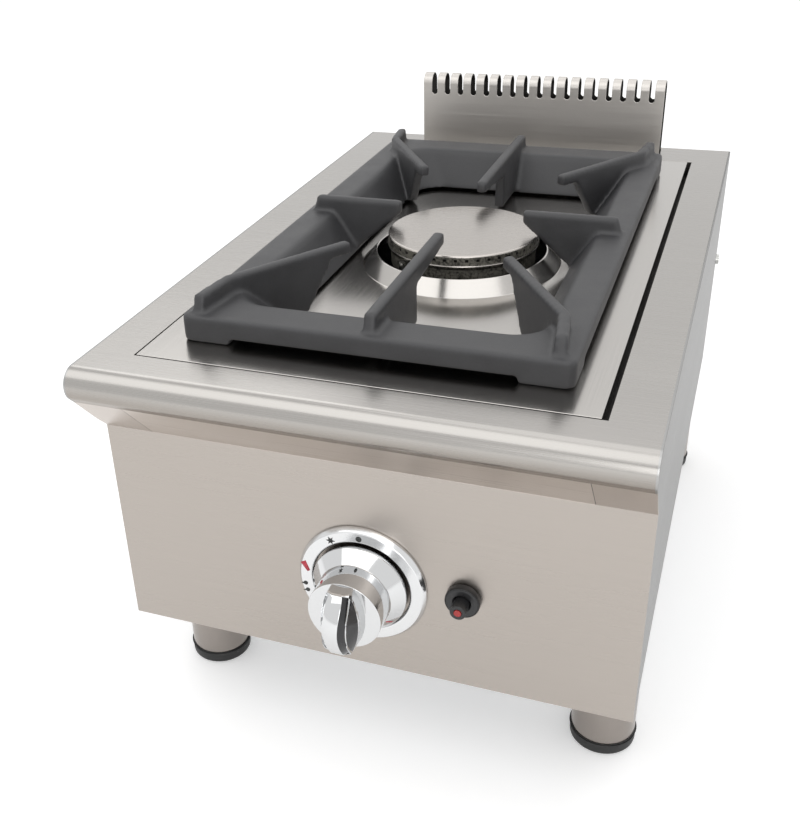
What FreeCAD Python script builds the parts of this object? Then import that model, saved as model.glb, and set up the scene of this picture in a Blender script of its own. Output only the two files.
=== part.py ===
import FreeCAD, Part
import math
import os
import re
import Sketcher

# Countertop gas range with one burner, in millimetres.
# X runs to the right, Y to the back and Z up.
# The origin lies on the floor under the middle of the bounding box.
# Sub-parts of the casing share one local frame: Y from the front panel's face, Z from the body's underside.

DIMENSIONS = (
    ("body_width", 300, "over both side panels"),
    ("body_depth", 455, "front panel face to rear edge of the deck"),
    ("body_height", 181.5, "underside of the body to deck surface"),
    ("sheet_gauge", 1.2, "casing sheet"),
    ("seam_gap", 0.3, "between neighbouring sheets"),
    ("nose_overhang", 32, "bullnose tip in front of the panel"),
    ("nose_radius", 10, "outside radius of the bullnose"),
    ("nose_lip", 5, "straight lip below the bullnose"),
    ("rear_hem", 14, "turned-down rear edge of the deck"),
    ("tab_width", 13, "slanted corner tab of a side panel"),
    ("tab_toe", 3, "tab width at its mitred foot"),
    ("mitre_depth", 8, "front to back length of the mitre cuts"),
    ("apron_inset", 26, "body side to the foot of the panel's slanted flange"),
    ("apron_flange", 38, "slope length of the panel's upper flange"),
    ("panel_return", 12, "inward flanges of the panels"),
    ("opening_width", 247, "deck opening"),
    ("opening_length", 422, "deck opening"),
    ("opening_border", 29, "bullnose tip to the front of the opening"),
    ("ledge_depth", 11, "deck surface down to the tray ledge"),
    ("ledge_width", 9, "tray ledge"),
    ("tray_sheet", 1, "spill tray sheet"),
    ("tray_gap", 2, "mean gap between tray and opening at the sides"),
    ("tray_end_gap", 1, "gap between tray and opening at the ends"),
    ("tray_shift", 1, "how far the tray lies left of the middle"),
    ("recess_width", 164, "sunk floor of the tray"),
    ("recess_length", 306, "sunk floor of the tray"),
    ("recess_depth", 12, "deck surface to tray floor"),
    ("recess_corner", 14, "corner radius of the sunk floor"),
    ("collar_base_radius", 64, "conical collar round the burner"),
    ("collar_top_radius", 54.5, "conical collar round the burner"),
    ("collar_height", 9, "collar above the tray floor"),
    ("flue_width", 194, "flue riser"),
    ("flue_depth", 15, "flue riser, front to back"),
    ("flue_height", 55.5, "flue riser above the deck"),
    ("flue_tuck", 6, "flue riser below the deck sheet"),
    ("flue_setback", 4.5, "flue riser to the rear edge"),
    ("flue_clear", 0.2, "flue riser in its deck slot"),
    ("flue_slots", 17, "count"),
    ("flue_slot_width", 4.4, "slot in the flue riser"),
    ("flue_slot_depth", 16, "slot length below the top of the riser"),
    ("flue_slot_margin", 9.5, "riser end to the middle of the first slot"),
    ("burner_y", 203, "front panel face to burner axis"),
    ("grate_width", 211, "pan support"),
    ("grate_length", 366, "pan support"),
    ("grate_shift", 1.2, "how far the pan support lies left of the burner"),
    ("grate_wall", 15, "height of the outer wall"),
    ("grate_corner", 5, "outer corner radius"),
    ("grate_inner_corner", 22, "corner radius of the opening"),
    ("rail_side", 21, "width of the side rails' top"),
    ("rail_end", 27, "width of the end rails' top"),
    ("rail_bend", 3, "slant between a rail's top and its skirt"),
    ("rail_wall", 5, "outer wall of a rail"),
    ("rail_roof", 4.5, "top wall of a rail"),
    ("skirt_depth", 10, "skirt below the deck surface"),
    ("skirt_lean", 14.5, "skirt's lean towards the burner"),
    ("skirt_wall", 4, "skirt"),
    ("grate_relief", 4, "relief under the outer walls between the feet"),
    ("grate_foot", 28, "length of each corner foot"),
    ("finger_thickness", 6.5, "grate finger"),
    ("finger_top", 25, "finger above the deck surface"),
    ("finger_lean", 3, "lean of the finger's outer end"),
    ("finger_tip", 7.5, "height of the finger's tip face"),
    ("finger_root", 4.5, "finger's outer end to the outer wall"),
    ("side_finger_reach", 40, "burner axis to the tips of the side fingers"),
    ("end_finger_reach", 50, "burner axis to the tips of the end fingers"),
    ("end_web_reach", 105, "burner axis to the web of the end fingers"),
    ("end_web_top", 13, "underside of the end fingers where the web starts"),
    ("corner_root_x", 97, "burner axis to the outer end of a corner finger"),
    ("corner_knee_x", 93, "burner axis to the bend of a corner finger"),
    ("corner_knee_y", 148, "burner axis to the bend of a corner finger"),
    ("corner_tip_x", 48, "burner axis to the tip of a corner finger"),
    ("corner_tip_y", 78, "burner axis to the tip of a corner finger"),
    ("corner_nib", 14, "length of the corner finger's slim tip"),
    ("corner_web", 32, "corner finger's tip to the foot of its web"),
    ("cap_radius", 48, "burner cap"),
    ("cap_height", 9, "deck surface to the cap's top edge"),
    ("cap_crown", 1.5, "rise of the cap's middle"),
    ("cap_bevel", 1, "edge of the cap"),
    ("cap_rim", 4.5, "thickness of the cap's rim"),
    ("cap_plate", 3.5, "thickness of the cap's top"),
    ("port_count", 44, "count"),
    ("port_width", 1.6, "flame ports in the cap's rim"),
    ("port_height", 3.4, "flame ports above the rim's lower edge"),
    ("ring_radius", 46.5, "burner ring"),
    ("ring_height", 10.8, "burner ring"),
    ("ring_bore", 37, "burner ring"),
    ("ring_spigot", 2.6, "height and thickness of the ring's lip that centres the cap"),
    ("spigot_clear", 0.4, "cap on the ring's lip"),
    ("cup_radius", 41, "burner cup"),
    ("cup_foot_radius", 30, "burner cup"),
    ("cup_wall", 4, "burner cup"),
    ("cup_bottom", 68, "deck surface to the cup's underside"),
    ("cup_step", 26, "height of the cup's narrow foot"),
    ("mixing_z", 135, "mixing tube axis above the body's underside"),
    ("mixing_start", 86, "panel face to the tube's mouth"),
    ("mixing_throat", 11, "inner radius"),
    ("mixing_mouth", 17, "inner radius"),
    ("mixing_wall", 2.5, "mixing tube"),
    ("mixing_flare", 22, "length of the flared mouth"),
    ("boss_reach", 44, "burner axis to the end of the cup's boss"),
    ("boss_radius", 16, "cup's boss for the mixing tube"),
    ("injector_radius", 5, "brass injector"),
    ("injector_length", 17, "brass injector"),
    ("injector_nose", 3, "radius of the injector's nose"),
    ("injector_bore", 0.8, "jet radius"),
    ("holder_radius", 9, "injector holder"),
    ("holder_length", 16, "injector holder"),
    ("stand_width", 60, "burner stand"),
    ("stand_depth", 30, "burner stand"),
    ("stand_foot", 16, "burner stand's feet"),
    ("stand_gauge", 2, "burner stand"),
    ("probe_radius_out", 49.6, "burner axis to thermocouple and electrode"),
    ("probe_radius", 2.2, "thermocouple"),
    ("probe_angle", 236, "thermocouple's place round the burner"),
    ("electrode_angle", 128, "electrode's place round the burner"),
    ("probe_length", 36, "thermocouple below the cap"),
    ("probe_top", 0.6, "thermocouple's tip below the deck surface"),
    ("ceramic_radius", 2.2, "electrode ceramic"),
    ("pin_radius", 0.8, "electrode pin"),
    ("pin_length", 7, "bare end of the electrode pin"),
    ("clip_depth", 26, "probe clips below the deck surface"),
    ("clip_width", 10, "probe clips"),
    ("clip_gauge", 2, "probe clips"),
    ("fit_clear", 0.05, "radial clearance of running fits"),
    ("dial_z", 58, "dial axis above the body's underside"),
    ("bezel_radius", 37, "dial bezel"),
    ("bezel_face", 35, "radius where the bezel's face starts"),
    ("bezel_height", 4, "dial bezel"),
    ("bezel_bore", 28, "dial bezel"),
    ("skirt_radius", 27, "knob skirt"),
    ("skirt_back", 5, "skirt's rear face in front of the panel"),
    ("skirt_front", 9, "skirt's outer edge in front of the panel"),
    ("drum_radius", 20.5, "knob drum"),
    ("drum_back", 13.5, "drum's foot on the conical skirt in front of the panel"),
    ("drum_front", 30, "drum's front in front of the panel"),
    ("bar_width", 11.5, "front of the grip bar across the drum"),
    ("bar_swell", 6.25, "swell of each of the bar's sides at its foot"),
    ("bar_arch", 24, "radius of the bar's front"),
    ("bar_front", 48, "bar's front in front of the panel"),
    ("hub_depth", 20, "stem socket in the knob"),
    ("stem_radius", 4, "valve stem"),
    ("stem_flat", 1.2, "depth of the flat on the stem"),
    ("stem_hole", 6.5, "hole in the panel for the stem"),
    ("stem_end", 30, "stem's inner end behind the panel face"),
    ("push_travel", 4, "knob's push travel"),
    ("rod_radius", 2.5, "valve push rod"),
    ("rod_length", 10, "valve push rod"),
    ("valve_radius", 14, "valve barrel"),
    ("valve_end", 52, "valve's rear end behind the panel face"),
    ("valve_flange", 4, "valve's mounting flange"),
    ("valve_flange_width", 46, "valve's mounting flange"),
    ("valve_flange_height", 30, "valve's mounting flange"),
    ("valve_port_radius", 8, "valve's pipe bosses"),
    ("valve_inlet_reach", 24, "axis to the end of the inlet boss"),
    ("valve_outlet_reach", 20, "axis to the end of the outlet boss"),
    ("valve_port_y", 38, "panel face to the axis of the valve's ports"),
    ("feed_radius", 4, "feed pipe"),
    ("feed_bend", 14, "bend radius of the feed pipe"),
    ("supply_radius", 6.5, "supply pipe"),
    ("supply_bend", 24, "bend radius of the supply pipe"),
    ("inlet_x", 100, "gas inlet left of the middle"),
    ("inlet_radius", 10.5, "gas inlet nipple"),
    ("inlet_bore", 5.5, "gas inlet nipple"),
    ("inlet_reach", 20, "nipple behind the rear edge"),
    ("inlet_collar", 15, "nipple's collar radius"),
    ("inlet_collar_height", 5, "nipple's collar"),
    ("inlet_inside", 24, "nipple inside the back panel"),
    ("locknut_radius", 17, "inlet locknut over its corners"),
    ("locknut_height", 8, "inlet locknut"),
    ("thread_clear", 0.1, "nuts on their threads"),
    ("igniter_x", 57, "igniter axis right of the dial"),
    ("igniter_rise", 2.7, "igniter axis above the dial axis"),
    ("igniter_collar", 9.6, "collar radius"),
    ("igniter_collar_height", 5, "collar in front of the panel"),
    ("igniter_bevel", 0.8, "edge of the collar"),
    ("igniter_thread", 8, "threaded barrel radius"),
    ("igniter_end", 44, "barrel's end behind the panel face"),
    ("igniter_nut_radius", 12, "locknut over its corners"),
    ("igniter_nut_height", 5, "igniter locknut"),
    ("button_radius", 4.5, "igniter button"),
    ("button_front", 13, "button's tip in front of the panel"),
    ("button_back", 12, "button's inner end behind the panel face"),
    ("button_travel", 6, "igniter button's travel"),
    ("insert_radius", 2, "coloured insert in the button's tip"),
    ("insert_depth", 1.2, "insert's seat in the button's tip"),
    ("insert_height", 1.5, "coloured insert"),
    ("lead_radius", 1.4, "igniter and thermocouple leads"),
    ("leg_inset_side", 20.5, "leg axis to the body's side"),
    ("leg_inset_end", 61, "leg axis to the front panel and to the rear edge"),
    ("leg_radius", 19, "leg tube"),
    ("leg_wall", 1.5, "leg tube"),
    ("leg_tube_height", 63.5, "leg tube"),
    ("foot_pad_height", 8.5, "foot pad below the tube"),
    ("foot_pad_radius", 19.4, "foot pad"),
    ("foot_plug", 12, "foot pad inside the tube"),
    ("stud_radius", 5, "leg stud"),
    ("stud_length", 14, "leg stud above the tube"),
    ("stud_clear", 0.4, "leg stud in the base pan"),
    ("leg_nut_radius", 9.5, "leg nut over its corners"),
    ("leg_nut_height", 8, "leg nut"),
    ("side_flange", 12, "side panel's bottom flange"),
    ("screw_z", 94, "rear screws above the body's underside"),
    ("screw_setback", 8, "rear screws to the rear edge"),
    ("screw_head", 4, "screw head radius"),
    ("screw_head_height", 2.4, "screw head"),
    ("screw_shank", 1.9, "screw shank radius"),
    ("screw_length", 6, "screw below its head"),
    ("vent_count", 8, "count"),
    ("vent_width", 5, "slot in the back panel"),
    ("vent_height", 40, "slot in the back panel"),
    ("vent_pitch", 16, "slots in the back panel"),
    ("vent_z", 120, "middle of the slots above the body's underside"),
)

SHEET = "Dims"
ALIAS = re.compile(r"\b(" + "|".join(name for name, _, _ in DIMENSIONS) + r")\b")

doc = FreeCAD.newDocument("CountertopRange")
sheet = doc.addObject("Spreadsheet::Sheet", SHEET)
for row, (name, number, note) in enumerate(DIMENSIONS, start=1):
    sheet.set(f"A{row}", name)
    sheet.set(f"B{row}", str(number))
    sheet.setAlias(f"B{row}", name)
    sheet.set(f"C{row}", note)
doc.recompute()

# Places worked out from the driving dimensions.
DIAG = "cos(45)"
BODY_Z = "(foot_pad_height + leg_tube_height)"
PANEL_Y = "((bar_front - body_depth - inlet_reach) / 2)"
DECK_Z = f"({BODY_Z} + body_height)"
BURNER_Y = f"({PANEL_Y} + burner_y)"
ARC_Y = "(nose_radius - nose_overhang)"
ARC_Z = "(body_height - nose_radius)"
ARC_END_Y = f"({ARC_Y} - nose_radius * {DIAG})"
ARC_END_Z = f"({ARC_Z} - nose_radius * {DIAG})"
APRON_Z = f"({ARC_END_Z} + {ARC_END_Y})"
PANEL_TOP = f"({APRON_Z} - (sheet_gauge + seam_gap) / {DIAG})"
INNER_HALF = "(body_width / 2 - sheet_gauge - seam_gap)"
SIDE_FRONT = "(sheet_gauge + seam_gap)"
BACK_FACE = "(body_depth - sheet_gauge - seam_gap)"
OPENING_FRONT = "(opening_border - nose_overhang)"
OPENING_MIDDLE = f"({OPENING_FRONT} + opening_length / 2)"
FLUE_REAR = "(body_depth - flue_setback)"
FLUE_FRONT = f"({FLUE_REAR} - flue_depth)"
DIAL_Z = f"({BODY_Z} + dial_z)"
IGNITER_Z = f"({DIAL_Z} + igniter_rise)"

# Corner style of a swept solid.
MITRED = 1

sub_parts = []


def bound(text):
    """Write the sheet's name in front of every dimension in an expression."""
    return ALIAS.sub(SHEET + r".\1", text)


def size(text):
    """Work out an expression's present value."""
    return float(sheet.evalExpression(bound(text)))


def new_body(label, x="0", y=PANEL_Y, z=BODY_Z):
    """Start a sub-part whose place follows the sheet."""
    body = doc.addObject("PartDesign::Body", label)
    body.Label = label
    for axis, text in zip("xyz", (x, y, z)):
        body.setExpression("Placement.Base." + axis, bound(text))
    sub_parts.append(body)
    return body


def origin_feature(body, role):
    """Find a plane or axis of a body's own origin."""
    return next(item for item in body.Origin.OriginFeatures if item.Role == role)


def new_sketch(body, role, lift="0", shift=("0", "0"), turn=None):
    """Attach a sketch to an origin plane: lifted off it, shifted in it and turned about the upright axis."""
    sketch = body.newObject("Sketcher::SketchObject", "Outline")
    sketch.AttachmentSupport = [(origin_feature(body, role), "")]
    sketch.MapMode = "FlatFace"
    if turn is not None:
        sketch.AttachmentOffset = FreeCAD.Placement(
            FreeCAD.Vector(), FreeCAD.Rotation(FreeCAD.Vector(0, 1, 0), 1))
        sketch.setExpression("AttachmentOffset.Rotation.Angle", bound(turn))
    for axis, text in zip("xyz", (*shift, lift)):
        sketch.setExpression("AttachmentOffset.Base." + axis, bound(text))
    return sketch


def constrain(sketch, text, kind, *targets):
    """Add one measured constraint and bind it to an expression."""
    index = sketch.addConstraint(Sketcher.Constraint(kind, *targets, size(text)))
    sketch.setExpression(f"Constraints[{index}]", bound(text))


def outline(sketch, corners):
    """Draw a closed outline.

    A corner is (x, y), or (x, y, radius, side) where the edge that leaves it is an arc that bulges
    to the left (1) or to the right (-1) of its chord.
    """
    places = [FreeCAD.Vector(size(corner[0]), size(corner[1]), 0) for corner in corners]
    count = len(corners)
    first = sketch.GeometryCount
    starts = []
    ends = []
    for index, corner in enumerate(corners):
        here = places[index]
        there = places[(index + 1) % count]
        if len(corner) == 2:
            edge = sketch.addGeometry(Part.LineSegment(here, there))
            starts.append((edge, 1))
            ends.append((edge, 2))
            continue
        chord = there - here
        radius = size(corner[2])
        sagitta = radius - math.sqrt(max(radius ** 2 - chord.Length ** 2 / 4, 0))
        left = FreeCAD.Vector(-chord.y, chord.x, 0).normalize()
        middle = (here + there) / 2 + left * sagitta * corner[3]
        edge = sketch.addGeometry(Part.Arc(here, middle, there))
        near, far = sorted((1, 2), key=lambda end: sketch.getPoint(edge, end).distanceToPoint(here))
        starts.append((edge, near))
        ends.append((edge, far))
    for index in range(count):
        sketch.addConstraint(Sketcher.Constraint("Coincident", *ends[index], *starts[(index + 1) % count]))
    for index, corner in enumerate(corners):
        constrain(sketch, corner[0], "DistanceX", -1, 1, *starts[index])
        constrain(sketch, corner[1], "DistanceY", -1, 1, *starts[index])
        if len(corner) > 2:
            constrain(sketch, corner[2], "Radius", first + index)
    return sketch


def rectangle(sketch, low_x, high_x, low_y, high_y):
    """Draw a rectangle between bound edges."""
    return outline(sketch, [(low_x, low_y), (high_x, low_y), (high_x, high_y), (low_x, high_y)])


def rounded_rectangle(sketch, half_x, half_y, radius):
    """Draw a rectangle about the sketch's origin with rounded corners."""
    flat_x = f"({half_x} - {radius})"
    flat_y = f"({half_y} - {radius})"
    return outline(sketch, [
        (f"-{flat_x}", f"-{half_y}"), (flat_x, f"-{half_y}", radius, -1),
        (half_x, f"-{flat_y}"), (half_x, flat_y, radius, -1),
        (flat_x, half_y), (f"-{flat_x}", half_y, radius, -1),
        (f"-{half_x}", flat_y), (f"-{half_x}", f"-{flat_y}", radius, -1)])


def circle(sketch, x, y, radius):
    """Draw a circle."""
    place = FreeCAD.Vector(size(x), size(y), 0)
    edge = sketch.addGeometry(Part.Circle(place, FreeCAD.Vector(0, 0, 1), size(radius)))
    constrain(sketch, x, "DistanceX", -1, 1, edge, 3)
    constrain(sketch, y, "DistanceY", -1, 1, edge, 3)
    constrain(sketch, radius, "Radius", edge)
    return sketch


def hexagon(sketch, corner_radius):
    """Draw a hexagon about the sketch's origin."""
    return outline(sketch, [
        (f"{corner_radius} * cos({60 * step})", f"{corner_radius} * sin({60 * step})") for step in range(6)])


def pad(body, sketch, length, both_ways=False, backwards=False):
    """Raise a sketch into a solid."""
    feature = body.newObject("PartDesign::Pad", "Pad")
    feature.Profile = sketch
    feature.SideType = "Symmetric" if both_ways else "One side"
    feature.Reversed = backwards
    feature.setExpression("Length", bound(length))
    doc.recompute()
    return feature


def pocket(body, sketch, length, both_ways=False, backwards=False):
    """Cut a sketch out of a body, and make sure that it did cut."""
    doc.recompute()
    before = body.Shape.Volume
    feature = body.newObject("PartDesign::Pocket", "Pocket")
    feature.Profile = sketch
    feature.SideType = "Symmetric" if both_ways else "One side"
    feature.Reversed = backwards
    feature.setExpression("Length", bound(length))
    doc.recompute()
    if body.Shape.Volume >= before:
        raise ValueError(f"a pocket in {body.Label} cuts nothing")
    return feature


def revolve(body, sketch):
    """Turn a sketch once round its upright axis."""
    feature = body.newObject("PartDesign::Revolution", "Revolution")
    feature.Profile = sketch
    feature.ReferenceAxis = (sketch, ["V_Axis"])
    feature.Angle = 360
    doc.recompute()
    return feature


def loft(body, kind, lower, upper):
    """Span two outlines with straight sides."""
    doc.recompute()
    feature = body.newObject(kind, "Loft")
    feature.Profile = lower
    feature.Sections = [upper]
    feature.Ruled = True
    doc.recompute()


def add_loft(body, lower, upper):
    """Add the straight-sided solid between two outlines."""
    loft(body, "PartDesign::AdditiveLoft", lower, upper)


def cut_loft(body, lower, upper):
    """Cut the straight-sided space between two outlines."""
    loft(body, "PartDesign::SubtractiveLoft", lower, upper)


def linear_pattern(body, feature, role, length, count):
    """Repeat a feature in a row."""
    pattern = body.newObject("PartDesign::LinearPattern", "Row")
    pattern.Originals = [feature]
    pattern.Direction = (origin_feature(body, role), [""])
    pattern.setExpression("Length", bound(length))
    pattern.setExpression("Occurrences", bound(count))
    body.Tip = pattern
    doc.recompute()


def polar_pattern(body, feature, role, count):
    """Repeat a feature round an axis."""
    pattern = body.newObject("PartDesign::PolarPattern", "Round")
    pattern.Originals = [feature]
    pattern.Axis = (origin_feature(body, role), [""])
    pattern.Angle = 360
    pattern.setExpression("Occurrences", bound(count))
    body.Tip = pattern
    doc.recompute()


def bent_path(places, bend):
    """Join straight runs with tangent arcs."""
    edges = []
    start = places[0]
    for before, corner, after in zip(places, places[1:], places[2:]):
        back = (before - corner).normalize()
        ahead = (after - corner).normalize()
        half_turn = (math.pi - back.getAngle(ahead)) / 2
        reach = bend * math.tan(half_turn)
        first = corner + back * reach
        last = corner + ahead * reach
        inward = (back + ahead).normalize()
        middle = corner + inward * bend * (1 / math.cos(half_turn) - 1)
        edges.append(Part.LineSegment(start, first).toShape())
        edges.append(Part.Arc(first, middle, last).toShape())
        start = last
    edges.append(Part.LineSegment(start, places[-1]).toShape())
    return Part.Wire(edges)


def pipe(label, route, radius, bend=None):
    """Sweep a round solid along a route, with bends of a given radius or with plain mitred corners."""
    places = [FreeCAD.Vector(*(size(text) for text in place)) for place in route]
    path = bent_path(places, size(bend)) if bend else Part.makePolygon(places)
    section = Part.Wire(Part.Circle(places[0], places[1] - places[0], size(radius)).toShape())
    tube = doc.addObject("Part::Feature", label)
    tube.Label = label
    tube.Shape = path.makePipeShell([section], True, False, MITRED)
    for axis, text in zip("xyz", ("0", PANEL_Y, BODY_Z)):
        tube.setExpression("Placement.Base." + axis, bound(text))
    sub_parts.append(tube)


# Casing.

def make_deck_top():
    """Deck sheet with its bullnose, opening, tray ledge, flue slot and rear hem."""
    body = new_body("deck_top")
    inner_radius = "(nose_radius - sheet_gauge)"
    lip = f"nose_lip * {DIAG}"
    wall = f"sheet_gauge * {DIAG}"
    profile = outline(new_sketch(body, "YZ_Plane"), [
        ("body_depth", "body_height - rear_hem"),
        ("body_depth", "body_height"),
        (ARC_Y, "body_height", "nose_radius", -1),
        (ARC_END_Y, ARC_END_Z),
        (f"{ARC_END_Y} + {lip}", f"{ARC_END_Z} - {lip}"),
        (f"{ARC_END_Y} + {lip} + {wall}", f"{ARC_END_Z} - {lip} + {wall}"),
        (f"{ARC_Y} - {inner_radius} * {DIAG}", f"{ARC_Z} - {inner_radius} * {DIAG}", inner_radius, 1),
        (ARC_Y, "body_height - sheet_gauge"),
        ("body_depth - sheet_gauge", "body_height - sheet_gauge"),
        ("body_depth - sheet_gauge", "body_height - rear_hem")])
    pad(body, profile, f"2 * {INNER_HALF}", both_ways=True)
    edge_x = "(opening_width / 2)"
    front = OPENING_FRONT
    rear = f"({OPENING_FRONT} + opening_length)"
    hole = rectangle(new_sketch(body, "XY_Plane", "body_height"), f"-{edge_x}", edge_x, front, rear)
    pocket(body, hole, "2 * sheet_gauge")
    slot_x = "(flue_width / 2 + flue_clear)"
    slot = rectangle(new_sketch(body, "XY_Plane", "body_height"), f"-{slot_x}", slot_x,
                     f"{FLUE_FRONT} - flue_clear", f"{FLUE_REAR} + flue_clear")
    pocket(body, slot, "2 * sheet_gauge")
    ledge_z = "body_height - ledge_depth - sheet_gauge"
    for inset, height in (("0", "ledge_depth"), ("ledge_width", "sheet_gauge")):
        ring = new_sketch(body, "XY_Plane", ledge_z)
        rectangle(ring, f"-{edge_x} - sheet_gauge", f"{edge_x} + sheet_gauge",
                  f"{front} - sheet_gauge", f"{rear} + sheet_gauge")
        rectangle(ring, f"-{edge_x} + {inset}", f"{edge_x} - {inset}",
                  f"{front} + {inset}", f"{rear} - {inset}")
        pad(body, ring, height)


def make_front_panel():
    """Front panel with a slanted, mitred upper flange and a bottom return."""
    body = new_body("front_panel")
    slope = f"apron_flange * {DIAG}"
    wall = f"sheet_gauge * {DIAG}"
    profile = outline(new_sketch(body, "YZ_Plane"), [
        ("0", "0"),
        ("0", PANEL_TOP),
        (f"-{slope}", f"{PANEL_TOP} + {slope}"),
        (f"-{slope} + {wall}", f"{PANEL_TOP} + {slope} + {wall}"),
        ("sheet_gauge", f"{PANEL_TOP} + sheet_gauge / {DIAG} - sheet_gauge"),
        ("sheet_gauge", "0")])
    pad(body, profile, "body_width", both_ways=True)
    floor = rectangle(new_sketch(body, "XY_Plane"), f"-{INNER_HALF}", INNER_HALF, "0", "panel_return")
    pad(body, floor, "sheet_gauge")
    outer = "body_width"
    foot = "(body_width / 2 - apron_inset)"
    shoulder = "(body_width / 2 - sheet_gauge - tab_width + mitre_depth / 2)"
    for side in ("", "-"):
        mitre = outline(new_sketch(body, "XY_Plane", PANEL_TOP), [
            (f"{side}{foot}", "0"),
            (f"{side}{shoulder}", "-mitre_depth"),
            (f"{side}{shoulder}", "-body_depth"),
            (f"{side}{outer}", "-body_depth"),
            (f"{side}{outer}", "0")])
        pocket(body, mitre, "body_height", both_ways=True)
    holes = new_sketch(body, "XZ_Plane")
    circle(holes, "0", "dial_z", "stem_hole")
    circle(holes, "igniter_x", "dial_z + igniter_rise", "igniter_thread + thread_clear")
    pocket(body, holes, "2 * sheet_gauge")


def make_side_panel(label, side):
    """Side panel whose front follows the nose, with a mitred corner tab and a bottom flange."""
    body = new_body(label)
    right = side > 0
    outer = "body_width / 2 - sheet_gauge" if right else "-body_width / 2"
    plate = outline(new_sketch(body, "YZ_Plane", outer), [
        (SIDE_FRONT, "0"),
        ("body_depth", "0"),
        ("body_depth", "body_height"),
        (ARC_Y, "body_height", "nose_radius", -1),
        (ARC_END_Y, ARC_END_Z),
        (SIDE_FRONT, f"{APRON_Z} - {SIDE_FRONT}")])
    pad(body, plate, "sheet_gauge")
    wall = f"sheet_gauge * {DIAG}"
    start = f"(nose_lip + seam_gap) * {DIAG}"
    inner = "(body_width / 2 - sheet_gauge)"
    tab = outline(new_sketch(body, "YZ_Plane", f"{inner} - tab_width" if right else f"-{inner}"), [
        (f"{ARC_END_Y} + {start}", f"{ARC_END_Z} - {start}"),
        ("-seam_gap", f"{APRON_Z} + seam_gap"),
        (f"-seam_gap + {wall}", f"{APRON_Z} + seam_gap + {wall}"),
        (f"{ARC_END_Y} + {start} + {wall}", f"{ARC_END_Z} - {start} + {wall}")])
    pad(body, tab, "tab_width")
    sign = "" if right else "-"
    mitre = outline(new_sketch(body, "XY_Plane", APRON_Z), [
        (f"{sign}({inner} - tab_width)", "-mitre_depth"),
        (f"{sign}({inner} - tab_toe)", "sheet_gauge"),
        (f"{sign}({inner} - 2 * tab_width)", "sheet_gauge"),
        (f"{sign}({inner} - 2 * tab_width)", "-mitre_depth")])
    pocket(body, mitre, "body_height", both_ways=True)
    near = f"{sign}{inner}"
    far = f"{sign}({inner} - side_flange)"
    flange = rectangle(new_sketch(body, "XY_Plane"), near, far,
                       "panel_return + seam_gap", f"{BACK_FACE} - panel_return - sheet_gauge - seam_gap")
    pad(body, flange, "sheet_gauge")
    hole = circle(new_sketch(body, "YZ_Plane", f"{sign}body_width / 2"),
                  "body_depth - screw_setback", "screw_z", "screw_shank + thread_clear")
    pocket(body, hole, "4 * sheet_gauge", both_ways=True)


def make_back_panel():
    """Back panel with forward flanges, vent slots and the hole for the gas inlet."""
    body = new_body("back_panel")
    plate = rectangle(new_sketch(body, "XZ_Plane", f"-{BACK_FACE}"), f"-{INNER_HALF}", INNER_HALF,
                      "0", "body_height - sheet_gauge - seam_gap")
    pad(body, plate, "sheet_gauge")
    for sign in ("", "-"):
        flange = rectangle(new_sketch(body, "XY_Plane"), f"{sign}{INNER_HALF}",
                           f"{sign}({INNER_HALF} - sheet_gauge)", f"{BACK_FACE} - panel_return", BACK_FACE)
        pad(body, flange, "body_height - ledge_depth - rear_hem")
        hole = circle(new_sketch(body, "YZ_Plane", f"{sign}{INNER_HALF}"),
                      "body_depth - screw_setback", "screw_z", "screw_shank + thread_clear")
        pocket(body, hole, "4 * sheet_gauge", both_ways=True)
    hole = circle(new_sketch(body, "XZ_Plane", f"-{BACK_FACE}"), "-inlet_x", "dial_z",
                  "inlet_radius + thread_clear")
    pocket(body, hole, "4 * sheet_gauge", both_ways=True)
    row_start = "(vent_pitch * (vent_count - 1) / 2)"
    vent = rectangle(new_sketch(body, "XZ_Plane", f"-{BACK_FACE}"),
                     f"-{row_start} - vent_width / 2", f"-{row_start} + vent_width / 2",
                     "vent_z - vent_height / 2", "vent_z + vent_height / 2")
    first = pocket(body, vent, "4 * sheet_gauge", both_ways=True)
    linear_pattern(body, first, "X_Axis", f"2 * {row_start}", "vent_count")


def leg_places():
    """Give each leg's name with the expressions of its axis in the casing's frame."""
    near = "leg_inset_end"
    far = "(body_depth - leg_inset_end)"
    across = "(body_width / 2 - leg_inset_side)"
    return (
        ("front_left", f"-{across}", near), ("front_right", across, near),
        ("rear_left", f"-{across}", far), ("rear_right", across, far))


def make_base_pan():
    """Base pan with upturned sides and holes for the leg studs."""
    body = new_body("base_pan")
    front = f"({SIDE_FRONT} + seam_gap)"
    rear = f"({BACK_FACE} - sheet_gauge - seam_gap)"
    half = f"({INNER_HALF} - sheet_gauge - seam_gap)"
    plate = rectangle(new_sketch(body, "XY_Plane", "sheet_gauge"), f"-{half}", half, front, rear)
    pad(body, plate, "sheet_gauge")
    for sign in ("", "-"):
        side = rectangle(new_sketch(body, "XY_Plane", "sheet_gauge"), f"{sign}{half}",
                         f"{sign}({half} - sheet_gauge)", front, rear)
        pad(body, side, "panel_return")
    holes = new_sketch(body, "XY_Plane", "sheet_gauge")
    for _, x, y in leg_places():
        circle(holes, x, y, "stud_radius + stud_clear")
    pocket(body, holes, "4 * sheet_gauge", both_ways=True)


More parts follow.
